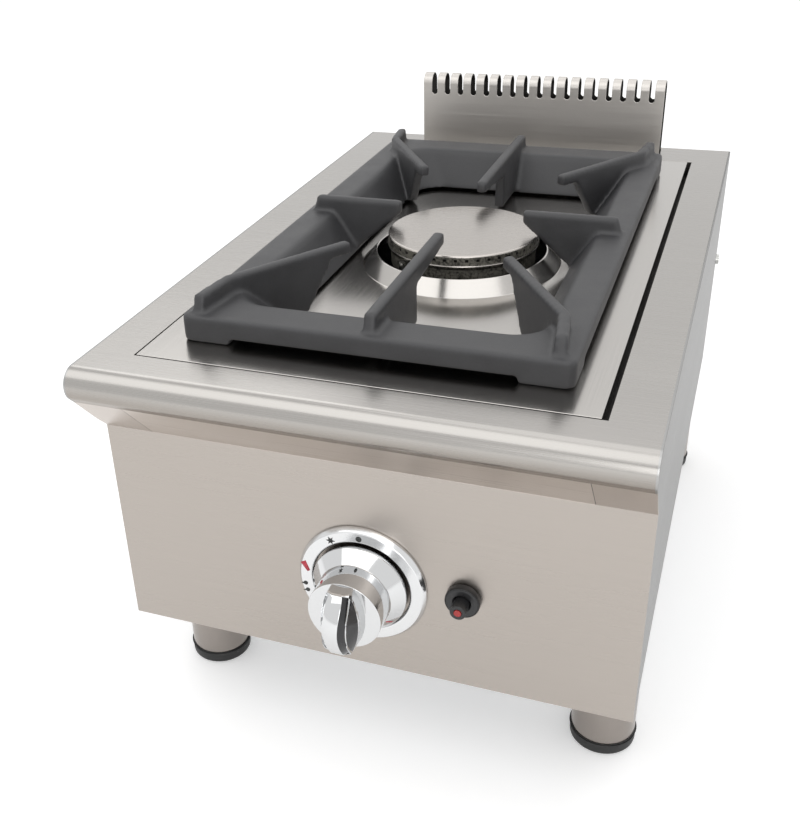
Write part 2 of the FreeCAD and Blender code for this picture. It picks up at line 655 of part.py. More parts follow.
def make_flue_riser():
    """Folded flue riser with its row of slots over the top bend."""
    body = new_body("flue_riser")
    outer = "(flue_depth / 2)"
    inner = "(flue_depth / 2 - sheet_gauge)"
    middle = f"({FLUE_FRONT} + flue_depth / 2)"
    bend_z = f"(body_height + flue_height - {outer})"
    foot_z = "body_height - sheet_gauge - flue_tuck"
    profile = outline(new_sketch(body, "YZ_Plane"), [
        (FLUE_FRONT, foot_z),
        (f"{FLUE_FRONT} + sheet_gauge", foot_z),
        (f"{FLUE_FRONT} + sheet_gauge", bend_z, inner, 1),
        (middle, f"{bend_z} + {inner}", inner, 1),
        (f"{FLUE_REAR} - sheet_gauge", bend_z),
        (f"{FLUE_REAR} - sheet_gauge", foot_z),
        (FLUE_REAR, foot_z),
        (FLUE_REAR, bend_z, outer, -1),
        (middle, f"{bend_z} + {outer}", outer, -1),
        (FLUE_FRONT, bend_z)])
    pad(body, profile, "flue_width", both_ways=True)
    half = "(flue_slot_width / 2)"
    cut = "(flue_slot_width * (1 - cos(45)))"
    start = "(flue_slot_margin - flue_width / 2)"
    low = "(body_height + flue_height - flue_slot_depth)"
    slot = outline(new_sketch(body, "XZ_Plane", f"-{middle}"), [
        (f"{start} - {half}", f"{low} + {cut}"),
        (f"{start} - {half} + {cut}", low),
        (f"{start} + {half} - {cut}", low),
        (f"{start} + {half}", f"{low} + {cut}"),
        (f"{start} + {half}", "body_height + flue_height + sheet_gauge"),
        (f"{start} - {half}", "body_height + flue_height + sheet_gauge")])
    first = pocket(body, slot, "2 * flue_depth", both_ways=True)
    linear_pattern(body, first, "X_Axis", "flue_width - 2 * flue_slot_margin", "flue_slots")


# Spill tray and pan support.

def make_spill_tray():
    """Lift-out tray with a flush rim, hemmed edge, sunk floor and conical collar."""
    body = new_body("spill_tray", "-tray_shift", f"{PANEL_Y} + {OPENING_MIDDLE}", DECK_Z)
    half_x = "(opening_width / 2 - tray_gap)"
    half_y = "(opening_length / 2 - tray_end_gap)"
    burner = f"(burner_y - {OPENING_MIDDLE})"
    across = "(recess_width / 2)"
    along = "(recess_length / 2)"

    def sunk(lift, grow):
        sketch = new_sketch(body, "XY_Plane", lift, ("0", burner))
        return rounded_rectangle(sketch, f"({across} + {grow})", f"({along} + {grow})",
                                 f"(recess_corner + {grow})")

    rim = rectangle(new_sketch(body, "XY_Plane", "-tray_sheet"), f"-{half_x}", half_x, f"-{half_y}", half_y)
    pad(body, rim, "tray_sheet")
    hem = new_sketch(body, "XY_Plane", "-ledge_depth")
    rectangle(hem, f"-{half_x}", half_x, f"-{half_y}", half_y)
    rectangle(hem, f"-{half_x} + tray_sheet", f"{half_x} - tray_sheet",
              f"-{half_y} + tray_sheet", f"{half_y} - tray_sheet")
    pad(body, hem, "ledge_depth")
    well = sunk("-recess_depth - tray_sheet", "tray_sheet")
    pad(body, well, "recess_depth + tray_sheet")
    hollow = sunk("0", "0")
    pocket(body, hollow, "recess_depth")
    eye = new_sketch(body, "XY_Plane", "0", ("0", burner))
    pocket(body, circle(eye, "0", "0", "collar_base_radius - tray_sheet"), "2 * recess_depth")
    floor_z = "(-recess_depth)"
    top_z = "(collar_height - recess_depth)"
    collar = outline(new_sketch(body, "XZ_Plane", f"-{burner}"), [
        ("collar_base_radius - 2 * tray_sheet", f"{floor_z} - tray_sheet"),
        ("collar_base_radius", f"{floor_z} - tray_sheet"),
        ("collar_base_radius", floor_z),
        ("collar_top_radius + tray_sheet", top_z),
        ("collar_top_radius", top_z),
        ("collar_top_radius", f"{top_z} - tray_sheet")])
    revolve(body, collar)


def make_grate():
    """Cast pan support: a channel frame whose skirt dips into the tray, corner feet and eight fingers."""
    body = new_body("grate", "-grate_shift", BURNER_Y, DECK_Z)
    half_x = "(grate_width / 2)"
    half_y = "(grate_length / 2)"
    bend_z = "(grate_wall - rail_bend)"
    slope = "(skirt_lean / (grate_wall - rail_bend + skirt_depth))"
    deck_lean = f"({slope} * {bend_z} - skirt_wall)"

    def ring(lift, inset):
        sketch = new_sketch(body, "XY_Plane", lift)
        return rounded_rectangle(sketch, f"({half_x} - rail_side - {inset})",
                                 f"({half_y} - rail_end - {inset})", "grate_inner_corner")

    block = new_sketch(body, "XY_Plane")
    pad(body, rounded_rectangle(block, half_x, half_y, "grate_corner"), "grate_wall")
    add_loft(body, ring("-skirt_depth", "(skirt_lean - skirt_wall)"), ring("0", deck_lean))
    cut_loft(body, ring(bend_z, "0"), ring("grate_wall", "(-rail_bend)"))
    cut_loft(body, ring("-skirt_depth", "skirt_lean"), ring(bend_z, "0"))

    roof_z = "(grate_wall - rail_roof)"
    rails = (
        ("XZ_Plane", half_x, "rail_side", f"2 * ({half_y} - grate_foot)"),
        ("YZ_Plane", half_y, "rail_end", f"2 * ({half_x} - grate_foot)"))
    for plane, half, rail, length in rails:
        for sign in ("", "-"):
            channel = outline(new_sketch(body, plane), [
                (f"{sign}({half} - rail_wall)", "0"),
                (f"{sign}({half} - rail_wall)", roof_z),
                (f"{sign}({half} - {rail} - {deck_lean} + {slope} * {roof_z})", roof_z),
                (f"{sign}({half} - {rail} - {deck_lean})", "0")])
            pocket(body, channel, length, both_ways=True)
            relief = rectangle(new_sketch(body, plane), f"{sign}({half} - 2 * rail_wall)", f"{sign}{half}",
                               "0", "grate_relief")
            pocket(body, relief, length, both_ways=True)
    make_fingers(body, half_x, half_y, deck_lean)


def make_fingers(body, half_x, half_y, deck_lean):
    """Add the pan support's straight fingers over its sides and ends and the bent ones at its corners."""
    tip_z = "(finger_top - finger_tip)"
    root_x = f"({half_x} - finger_root)"
    root_y = f"({half_y} - finger_root)"
    foot = "(skirt_lean - skirt_wall / 2)"
    side_tip = f"({root_x} - side_finger_reach)"
    end_tip = f"({root_y} - end_finger_reach)"
    end_web = f"({root_y} - end_web_reach)"

    def straight(rail, under):
        return [
            ("0", "grate_relief"),
            (f"{rail} - finger_root + {deck_lean}", "grate_relief"),
            (f"{rail} - finger_root + {foot}", "-skirt_depth"),
            *under,
            ("finger_lean", "finger_top"),
            ("0", "grate_wall")]

    side = straight("rail_side", [(side_tip, tip_z), (side_tip, "finger_top")])
    end = straight("rail_end", [
        (end_web, "-skirt_depth"), (end_web, "end_web_top"), (end_tip, tip_z), (end_tip, "finger_top")])
    run = "(corner_knee_x - corner_tip_x)"
    rise = "(corner_knee_y - corner_tip_y)"
    turn = f"(atan({rise} / {run}) / 1 deg)"
    length = f"sqrt({run} ^ 2 + {rise} ^ 2)"
    rail_exit = f"({length} / {run} * (corner_knee_x - {half_x} + rail_side + {deck_lean}))"
    skirt_exit = f"({length} / {run} * (corner_knee_x - {half_x} + rail_side + {foot}))"
    bed = "(grate_wall - rail_roof / 2)"
    arm = [
        ("0", bed),
        (rail_exit, "grate_relief"),
        (skirt_exit, "-skirt_depth"),
        (f"{length} - corner_web", "-skirt_depth"),
        (f"{length} - corner_nib", tip_z),
        (length, tip_z),
        (length, "finger_top"),
        ("0", "finger_top")]
    heel_run = "(corner_root_x - corner_knee_x)"
    heel_rise = f"({root_y} - corner_knee_y)"
    heel_turn = f"(atan({heel_rise} / {heel_run}) / 1 deg)"
    heel_length = f"sqrt({heel_run} ^ 2 + {heel_rise} ^ 2)"
    heel = [
        ("0", bed),
        (heel_length, bed),
        (heel_length, "finger_top"),
        ("finger_lean", "finger_top"),
        ("0", "grate_wall")]
    plates = [
        (f"-{root_x}", "0", "0", side), (root_x, "0", "180", side),
        ("0", f"-{root_y}", "90", end), ("0", root_y, "270", end)]
    corners = (("-", "-", "0 + "), ("", "-", "180 - "), ("-", "", "0 - "), ("", "", "180 + "))
    for x, y, start in corners:
        plates.append((f"{x}corner_knee_x", f"{y}corner_knee_y", f"{start}{turn}", arm))
        plates.append((f"{x}corner_root_x", f"{y}{root_y}", f"{start}{heel_turn}", heel))
        knee = circle(new_sketch(body, "XY_Plane", bed), f"{x}corner_knee_x", f"{y}corner_knee_y",
                      "finger_thickness / 2")
        pad(body, knee, f"finger_top - {bed}")
    for x, y, angle, profile in plates:
        plate = outline(new_sketch(body, "XZ_Plane", f"-({y})", (x, "0"), angle), profile)
        pad(body, plate, "finger_thickness", both_ways=True)


# Burner.

def make_burner():
    """Burner cap with flame ports, ring and cup with the boss for its mixing tube."""
    cap = new_body("burner_cap", "0", BURNER_Y, DECK_Z)
    revolve(cap, outline(new_sketch(cap, "XZ_Plane"), [
        ("0", "cap_height - cap_plate"),
        ("cap_radius - cap_rim", "cap_height - cap_plate"),
        ("cap_radius - cap_rim", "0"),
        ("cap_radius", "0"),
        ("cap_radius", "cap_height - cap_bevel"),
        ("cap_radius - cap_bevel", "cap_height"),
        ("0", "cap_height + cap_crown")]))
    port = rectangle(new_sketch(cap, "XZ_Plane"), "-port_width / 2", "port_width / 2", "0", "port_height")
    polar_pattern(cap, pocket(cap, port, "2 * cap_radius"), "Z_Axis", "port_count")

    ring = new_body("burner_ring", "0", BURNER_Y, DECK_Z)
    spigot = "(cap_radius - cap_rim - spigot_clear)"
    revolve(ring, outline(new_sketch(ring, "XZ_Plane"), [
        ("ring_bore", "-ring_height"),
        ("ring_radius", "-ring_height"),
        ("ring_radius", "0"),
        (spigot, "0"),
        (spigot, "ring_spigot"),
        (f"{spigot} - ring_spigot", "ring_spigot"),
        (f"{spigot} - ring_spigot", "0"),
        ("ring_bore", "0")]))

    cup = new_body("burner_cup", "0", BURNER_Y, DECK_Z)
    step_z = "(cup_step - cup_bottom)"
    tube_z = "(mixing_z - body_height)"
    pad(cup, circle(new_sketch(cup, "XY_Plane", "-cup_bottom"), "0", "0", "cup_foot_radius"), "cup_step")
    pad(cup, circle(new_sketch(cup, "XY_Plane", step_z), "0", "0", "cup_radius"), f"-ring_height - {step_z}")
    pad(cup, circle(new_sketch(cup, "XZ_Plane"), "0", tube_z, "boss_radius"), "boss_reach")
    wide = circle(new_sketch(cup, "XY_Plane", "-ring_height"), "0", "0", "cup_radius - cup_wall")
    pocket(cup, wide, f"-ring_height - {step_z} - cup_wall")
    narrow = circle(new_sketch(cup, "XY_Plane", "-ring_height"), "0", "0", "cup_foot_radius - cup_wall")
    pocket(cup, narrow, "cup_bottom - ring_height - cup_wall")
    pocket(cup, circle(new_sketch(cup, "XZ_Plane", "boss_reach"), "0", tube_z, "mixing_throat"), "boss_reach")


def make_mixing_tube():
    """Mixing tube with a flared mouth, in line with the injector."""
    body = new_body("mixing_tube", z=f"{BODY_Z} + mixing_z")
    end = "(burner_y - boss_reach)"
    throat = "(mixing_start + mixing_flare)"
    revolve(body, outline(new_sketch(body, "XY_Plane"), [
        ("mixing_mouth", "mixing_start"),
        ("mixing_mouth + mixing_wall", "mixing_start"),
        ("mixing_throat + mixing_wall", throat),
        ("mixing_throat + mixing_wall", end),
        ("mixing_throat", end),
        ("mixing_throat", throat)]))


def make_injector():
    """Brass injector and its holder at the end of the feed pipe."""
    tip = "(mixing_start + injector_length / 3)"
    back = f"({tip} - injector_length)"
    injector = new_body("injector", z=f"{BODY_Z} + mixing_z")
    revolve(injector, outline(new_sketch(injector, "XY_Plane"), [
        ("injector_bore", back),
        ("injector_radius", back),
        ("injector_radius", f"{back} + injector_length / 2"),
        ("injector_nose", f"{back} + injector_length / 2"),
        ("injector_nose", tip),
        ("injector_bore", tip)]))
    holder = new_body("injector_holder", z=f"{BODY_Z} + mixing_z")
    block = hexagon(new_sketch(holder, "XZ_Plane", f"-{back}"), "holder_radius")
    pad(holder, block, "holder_length")
    bore = circle(new_sketch(holder, "XZ_Plane", f"-{back}"), "0", "0", "feed_radius / 2")
    pocket(holder, bore, "2 * holder_length", both_ways=True)


def make_burner_stand():
    """Bent bracket that carries the burner cup on the base pan."""
    body = new_body("burner_stand", y=BURNER_Y)
    top = "(body_height - cup_bottom)"
    foot = "(2 * sheet_gauge)"
    half = "(stand_width / 2)"
    gauge = "stand_gauge"
    profile = outline(new_sketch(body, "XZ_Plane"), [
        (f"-{half} - stand_foot", foot),
        (f"-{half} + {gauge}", foot),
        (f"-{half} + {gauge}", f"{top} - {gauge}"),
        (f"{half} - {gauge}", f"{top} - {gauge}"),
        (f"{half} - {gauge}", foot),
        (f"{half} + stand_foot", foot),
        (f"{half} + stand_foot", f"{foot} + {gauge}"),
        (half, f"{foot} + {gauge}"),
        (half, top),
        (f"-{half}", top),
        (f"-{half}", f"{foot} + {gauge}"),
        (f"-{half} - stand_foot", f"{foot} + {gauge}")])
    pad(body, profile, "stand_depth", both_ways=True)


def make_probe(label, clip_label, angle, radius, low, high):
    """Upright probe beside the burner ring and the clip that ties it to the cup."""
    x = f"(probe_radius_out * cos({angle}))"
    y = f"(probe_radius_out * sin({angle}))"
    probe = new_body(label, x, f"{BURNER_Y} + {y}", DECK_Z)
    pad(probe, circle(new_sketch(probe, "XY_Plane", low), "0", "0", radius), f"{high} - ({low})")
    clip = new_body(clip_label, "0", BURNER_Y, DECK_Z)
    clip.setExpression("Placement.Rotation.Angle", bound(angle))
    near = "(cup_radius + fit_clear)"
    far = f"(probe_radius_out + 2 * {radius})"
    plate = new_sketch(clip, "XY_Plane", "-clip_depth")
    rectangle(plate, near, far, "-clip_width / 2", "clip_width / 2")
    circle(plate, "probe_radius_out", "0", f"{radius} + fit_clear")
    pad(clip, plate, "clip_gauge")
    tail = rectangle(new_sketch(clip, "XY_Plane", "-clip_depth"), near, f"{near} + clip_gauge",
                     "-clip_width / 2", "clip_width / 2")
    pad(clip, tail, "clip_width", backwards=True)


def make_probes():
    """Thermocouple, spark electrode with its ceramic, and their clips."""
    make_probe("thermocouple", "thermocouple_clip", "probe_angle", "probe_radius",
               "-probe_length - probe_top", "-probe_top")
    make_probe("electrode_ceramic", "electrode_clip", "electrode_angle", "ceramic_radius",
               "-probe_length - pin_length - probe_top", "-pin_length - probe_top")
    pin = new_body("electrode_pin", "probe_radius_out * cos(electrode_angle)",
                   f"{BURNER_Y} + probe_radius_out * sin(electrode_angle)", DECK_Z)
    tip = circle(new_sketch(pin, "XY_Plane", "-pin_length - probe_top"), "0", "0", "pin_radius")
    pad(pin, tip, "pin_length")


# Gas valve, pipes and controls.

def make_valve():
    """Valve body with its ports, the turning stem and the push rod behind it."""
    valve = new_body("valve_body", z=DIAL_Z)
    half_x = "(valve_flange_width / 2)"
    half_z = "(valve_flange_height / 2)"
    flange = new_sketch(valve, "XZ_Plane", "-sheet_gauge")
    pad(valve, rectangle(flange, f"-{half_x}", half_x, f"-{half_z}", half_z), "valve_flange", backwards=True)
    barrel = circle(new_sketch(valve, "XZ_Plane", "-sheet_gauge"), "0", "0", "valve_radius")
    pad(valve, barrel, "valve_end - sheet_gauge", backwards=True)
    inlet = new_sketch(valve, "YZ_Plane", "-valve_inlet_reach")
    pad(valve, circle(inlet, "valve_port_y", "0", "valve_port_radius"), "valve_inlet_reach")
    outlet = circle(new_sketch(valve, "XY_Plane"), "0", "valve_port_y", "valve_port_radius")
    pad(valve, outlet, "valve_outlet_reach")
    stem_bore = circle(new_sketch(valve, "XZ_Plane"), "0", "0", "stem_radius + fit_clear")
    pocket(valve, stem_bore, "stem_end + push_travel + seam_gap")
    rod_bore = circle(new_sketch(valve, "XZ_Plane"), "0", "0", "rod_radius + fit_clear")
    pocket(valve, rod_bore, "stem_end + rod_length + push_travel + 2 * seam_gap")

    stem = new_body("valve_stem", z=DIAL_Z)
    front = "(skirt_back + hub_depth)"
    rear = new_sketch(stem, "XZ_Plane", "-stem_end")
    pad(stem, circle(rear, "0", "0", "stem_radius"), f"stem_end + {front}")
    flat = rectangle(new_sketch(stem, "XZ_Plane", front), "-stem_radius", "stem_radius",
                     "stem_radius - stem_flat", "2 * stem_radius")
    pocket(stem, flat, "hub_depth")

    rod = new_body("valve_push_rod", z=DIAL_Z)
    rod_end = "(stem_end + seam_gap / 2 + rod_length)"
    pad(rod, circle(new_sketch(rod, "XZ_Plane", f"-{rod_end}"), "0", "0", "rod_radius"), "rod_length")


def make_pipes():
    """Feed pipe, supply pipe and the igniter and thermocouple leads."""
    axis_y = "valve_port_y"
    holder_back = "(mixing_start + injector_length / 3 - injector_length - holder_length)"
    pipe("feed_pipe", [
        ("0", axis_y, "dial_z + valve_outlet_reach"),
        ("0", axis_y, "mixing_z"),
        ("0", holder_back, "mixing_z")], "feed_radius", "feed_bend")
    pipe("supply_pipe", [
        ("-inlet_x", f"{BACK_FACE} - sheet_gauge - inlet_inside", "dial_z"),
        ("-inlet_x", axis_y, "dial_z"),
        ("-valve_inlet_reach", axis_y, "dial_z")], "supply_radius", "supply_bend")
    spark_x = "(probe_radius_out * cos(electrode_angle))"
    spark_y = "(burner_y + probe_radius_out * sin(electrode_angle))"
    igniter_z = "(dial_z + igniter_rise)"
    pipe("igniter_lead", [
        ("igniter_x", "igniter_end", igniter_z),
        ("igniter_x", spark_y, igniter_z),
        (spark_x, spark_y, igniter_z),
        (spark_x, spark_y, "body_height - probe_length - pin_length - probe_top")], "lead_radius")
    probe_x = "(probe_radius_out * cos(probe_angle))"
    probe_y = "(burner_y + probe_radius_out * sin(probe_angle))"
    pipe("thermocouple_lead", [
        (probe_x, probe_y, "body_height - probe_length - probe_top"),
        (probe_x, probe_y, "dial_z"),
        ("0", probe_y, "dial_z"),
        ("0", "valve_end", "dial_z")], "lead_radius")


def make_gas_inlet():
    """Gas inlet nipple with its collar against the back panel, and the locknut inside."""
    nipple = new_body("gas_inlet", "-inlet_x", f"{PANEL_Y} + body_depth", DIAL_Z)
    outside = f"({BACK_FACE} - body_depth)"
    inner = f"({outside} - sheet_gauge - inlet_inside)"
    revolve(nipple, outline(new_sketch(nipple, "XY_Plane"), [
        ("inlet_bore", inner),
        ("inlet_radius", inner),
        ("inlet_radius", outside),
        ("inlet_collar", outside),
        ("inlet_collar", f"{outside} + inlet_collar_height"),
        ("inlet_radius", f"{outside} + inlet_collar_height"),
        ("inlet_radius", "inlet_reach"),
        ("inlet_bore", "inlet_reach")]))
    nut = new_body("inlet_locknut", "-inlet_x", f"{PANEL_Y} + {BACK_FACE} - sheet_gauge", DIAL_Z)
    face = hexagon(new_sketch(nut, "XZ_Plane"), "locknut_radius")
    circle(face, "0", "0", "inlet_radius + thread_clear")
    pad(nut, face, "locknut_height")


def make_dial():
    """Fixed dial bezel on the front panel."""
    body = new_body("dial_bezel", z=DIAL_Z)
    revolve(body, outline(new_sketch(body, "XY_Plane"), [
        ("bezel_bore", "0"),
        ("bezel_radius", "0"),
        ("bezel_radius", "-bezel_height / 3"),
        ("bezel_face", "-bezel_height"),
        ("bezel_bore + bezel_height / 4", "-bezel_height"),
        ("bezel_bore", "-bezel_height * 3 / 4")]))


def make_knob():
    """Control knob: a conical skirt, a round drum, an arched grip bar and the socket for the stem."""
    body = new_body("knob", z=DIAL_Z)
    revolve(body, outline(new_sketch(body, "XY_Plane"), [
        ("0", "-skirt_back"),
        ("skirt_radius", "-skirt_back"),
        ("skirt_radius", "-skirt_front"),
        ("drum_radius", "-drum_back"),
        ("drum_radius", "-drum_front"),
        ("0", "-drum_front")]))
    half = "(bar_width / 2)"
    reach = f"sqrt(drum_radius ^ 2 - {half} ^ 2)"
    swell = f"(({reach} ^ 2 + bar_swell ^ 2) / (2 * bar_swell))"
    foot = outline(new_sketch(body, "XZ_Plane", "drum_front"), [
        (f"-{half}", f"-{reach}"),
        (half, f"-{reach}", swell, -1),
        (half, reach),
        (f"-{half}", reach, swell, -1)])
    crest = rectangle(new_sketch(body, "XZ_Plane", "bar_front"), f"-{half}", half, f"-{reach}", reach)
    add_loft(body, foot, crest)
    end = f"(bar_front - bar_arch + sqrt(bar_arch ^ 2 - {reach} ^ 2))"
    arch = outline(new_sketch(body, "YZ_Plane"), [
        (f"-{end}", reach, "bar_arch", -1),
        (f"-{end}", f"-{reach}"),
        ("-2 * bar_front", f"-{reach}"),
        ("-2 * bar_front", reach)])
    pocket(body, arch, "2 * (bar_width + bar_swell)", both_ways=True)
    socket = circle(new_sketch(body, "XZ_Plane", "skirt_back"), "0", "0", "stem_radius + fit_clear")
    pocket(body, socket, "hub_depth + seam_gap", backwards=True)


def make_igniter():
    """Igniter barrel with its collar, the locknut behind the panel and the push button with its insert."""
    place = {"x": "igniter_x", "z": IGNITER_Z}
    barrel = new_body("igniter_body", **place)
    bore = "(button_radius + fit_clear)"
    bore_end = "(button_back + button_travel + seam_gap)"
    revolve(barrel, outline(new_sketch(barrel, "XY_Plane"), [
        (bore, "-igniter_collar_height"),
        ("igniter_collar - igniter_bevel", "-igniter_collar_height"),
        ("igniter_collar", "igniter_bevel - igniter_collar_height"),
        ("igniter_collar", "0"),
        ("igniter_thread", "0"),
        ("igniter_thread", "igniter_end"),
        ("0", "igniter_end"),
        ("0", bore_end),
        (bore, bore_end)]))
    nut = new_body("igniter_nut", **place)
    face = hexagon(new_sketch(nut, "XZ_Plane", "-sheet_gauge"), "igniter_nut_radius")
    circle(face, "0", "0", "igniter_thread + thread_clear")
    pad(nut, face, "igniter_nut_height", backwards=True)
    button = new_body("igniter_button", **place)
    tip = "(-button_front)"
    seat = f"({tip} + insert_depth)"
    revolve(button, outline(new_sketch(button, "XY_Plane"), [
        ("0", "button_back"),
        ("0", seat),
        ("insert_radius + fit_clear", seat),
        ("insert_radius + fit_clear", tip),
        ("button_radius", tip),
        ("button_radius", "button_back")]))
    insert = new_body("button_insert", **place)
    dot = circle(new_sketch(insert, "XZ_Plane", f"-{seat}"), "0", "0", "insert_radius")
    pad(insert, dot, "insert_height")


# Legs and fasteners.

def make_legs():
    """Leg tubes with closed tops and studs, and the pads that plug into them."""
    for name, x, y in leg_places():
        place = {"x": x, "y": f"{PANEL_Y} + {y}"}
        leg = new_body(f"leg_{name}", z="foot_pad_height", **place)
        bore = "(leg_radius - leg_wall)"
        top = "leg_tube_height"
        revolve(leg, outline(new_sketch(leg, "XZ_Plane"), [
            (bore, "0"),
            ("leg_radius", "0"),
            ("leg_radius", top),
            ("stud_radius", top),
            ("stud_radius", f"{top} + stud_length"),
            ("0", f"{top} + stud_length"),
            ("0", f"{top} - 2 * leg_wall"),
            (bore, f"{top} - 2 * leg_wall")]))
        pad_body = new_body(f"foot_{name}", z="0", **place)
        plug = f"({bore} - fit_clear)"
        revolve(pad_body, outline(new_sketch(pad_body, "XZ_Plane"), [
            ("0", "0"),
            ("foot_pad_radius", "0"),
            ("foot_pad_radius", "foot_pad_height"),
            (plug, "foot_pad_height"),
            (plug, "foot_pad_height + foot_plug"),
            ("0", "foot_pad_height + foot_plug")]))


def make_leg_nuts():
    """Nuts that clamp the leg studs to the base pan."""
    solids = []
    for _, x, y in leg_places():
        corner = FreeCAD.Vector(size("leg_nut_radius"), 0, 0)
        turn = FreeCAD.Rotation(FreeCAD.Vector(0, 0, 1), 60)
        corners = [corner]
        for _ in range(6):
            corners.append(turn.multVec(corners[-1]))
        nut = Part.Face(Part.makePolygon(corners)).extrude(FreeCAD.Vector(0, 0, size("leg_nut_height")))
        nut = nut.cut(Part.makeCylinder(size("stud_radius + thread_clear"), size("leg_nut_height")))
        nut.translate(FreeCAD.Vector(size(x), size(y), size("2 * sheet_gauge")))
        solids.append(nut)
    add_group("leg_nuts", solids)


def make_rear_screws():
    """Screws through the side panels into the back panel's flanges."""
    solids = []
    for side in (-1, 1):
        outward = FreeCAD.Vector(side, 0, 0)
        half = side * size("body_width / 2")
        start = FreeCAD.Vector(half, size("body_depth - screw_setback"), size("screw_z"))
        head = Part.makeCylinder(size("screw_head"), size("screw_head_height"), start, outward)
        shank = Part.makeCylinder(size("screw_shank"), size("screw_length"), start, -outward)
        solids.append(head.fuse(shank).removeSplitter())
    add_group("rear_screws", solids)


def add_group(label, solids):
    """Keep a set of alike fasteners as one sub-part in the casing's frame."""
    group = doc.addObject("Part::Feature", label)
    group.Label = label
    group.Shape = Part.makeCompound(solids)
    for axis, text in zip("xyz", ("0", PANEL_Y, BODY_Z)):
        group.setExpression("Placement.Base." + axis, bound(text))
    sub_parts.append(group)


def main():
    """Build every sub-part, check the document and write the solids."""
    make_deck_top()
    make_front_panel()
    make_side_panel("left_side_panel", -1)
    make_side_panel("right_side_panel", 1)
    make_back_panel()
    make_base_pan()
    make_flue_riser()
    make_spill_tray()
    make_grate()
    make_burner()
    make_mixing_tube()
    make_injector()
    make_burner_stand()
    make_probes()
    make_valve()
    make_pipes()
    make_gas_inlet()
    make_dial()
    make_knob()
    make_igniter()
    make_legs()
    make_leg_nuts()
    make_rear_screws()
    doc.recompute()
    for item in doc.Objects:
        if {"Invalid", "Error"} & set(item.State):
            raise ValueError(f"{item.Label} failed: {item.State}")
    os.makedirs("parts", exist_ok=True)
    for part in sub_parts:
        if part.Shape.isNull() or not part.Shape.isValid():
            raise ValueError(f"{part.Label} has no valid shape")
        part.Shape.exportStep(f"parts/{part.Label}.step")
    print(f"{len(sub_parts)} sub-parts written")


main()
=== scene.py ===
"""Looks of a countertop gas range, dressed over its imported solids, in metres."""

import logging
import math
from collections.abc import Callable
from dataclasses import dataclass, field
from enum import Enum, IntEnum
from typing import ClassVar

import bmesh
import bpy
from mathutils import Matrix, Vector


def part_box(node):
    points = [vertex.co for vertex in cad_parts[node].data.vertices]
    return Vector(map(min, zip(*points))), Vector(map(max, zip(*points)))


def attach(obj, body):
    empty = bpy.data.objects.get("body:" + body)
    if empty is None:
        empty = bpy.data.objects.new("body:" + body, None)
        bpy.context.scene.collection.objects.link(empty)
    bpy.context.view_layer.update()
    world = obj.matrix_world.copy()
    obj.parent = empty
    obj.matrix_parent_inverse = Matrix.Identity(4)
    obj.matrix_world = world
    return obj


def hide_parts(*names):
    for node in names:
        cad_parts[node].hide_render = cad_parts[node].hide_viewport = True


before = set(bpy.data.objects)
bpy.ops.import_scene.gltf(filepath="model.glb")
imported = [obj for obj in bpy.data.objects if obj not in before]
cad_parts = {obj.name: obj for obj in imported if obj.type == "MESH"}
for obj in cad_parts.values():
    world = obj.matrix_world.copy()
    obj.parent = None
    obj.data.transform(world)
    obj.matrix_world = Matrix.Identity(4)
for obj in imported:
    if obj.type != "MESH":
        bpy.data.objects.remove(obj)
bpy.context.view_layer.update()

log = logging.getLogger("countertop_range")

MM = 0.001
# Points closer than MERGE become one, and points within CUT of a cutting plane lie on it.
MERGE = 0.002 * MM
CUT = 1e-7
# Faces that meet at less than FLAT are one flat face.
FLAT = math.radians(0.3)
# Least cosine of a face that lies square to a direction, and of one that looks that way.
SQUARE = 0.99
FACING = 0.9
WHITE = (1.0, 1.0, 1.0, 1.0)
Pair = tuple[float, float]
Triple = tuple[float, float, float]
Colour = Triple
Materials = list[bpy.types.Material]
FaceTest = Callable[[bmesh.types.BMFace], bool]


class Grain(Enum):
    """Direction of the brushing on a sheet."""

    ACROSS = (1.0, 0.0, 0.0)
    ALONG = (0.0, 1.0, 0.0)
    UPRIGHT = (0.0, 0.0, 1.0)

    def scale(self, lengthwise: float, crosswise: float) -> Triple:
        """Give a noise's cycles per metre along the grain and across it."""
        return tuple(lengthwise if part else crosswise for part in self.value)


class Body(Enum):
    """Bodies that the pieces move with."""

    CHASSIS = "chassis"
    CONTROL = "control"
    BUTTON = "button"
    TRAY = "tray"
    PAN_SUPPORT = "pan_support"
    CAP = "cap"


class PanelArea(IntEnum):
    """Areas of the front panel, in the order of its finishes."""

    PANEL = 0
    # APRON and TAB carry lighter tones that are painted light.
    APRON = 1
    TAB = 2
    # SEAM is a fine strip painted dark as the shade in the seam.
    SEAM = 3


class CapArea(IntEnum):
    """Areas of the burner cap, in the order of its finishes."""

    PLATE = 0
    SIDE = 1
    # PORT is painted dark as the shade inside the port holes.
    PORT = 2


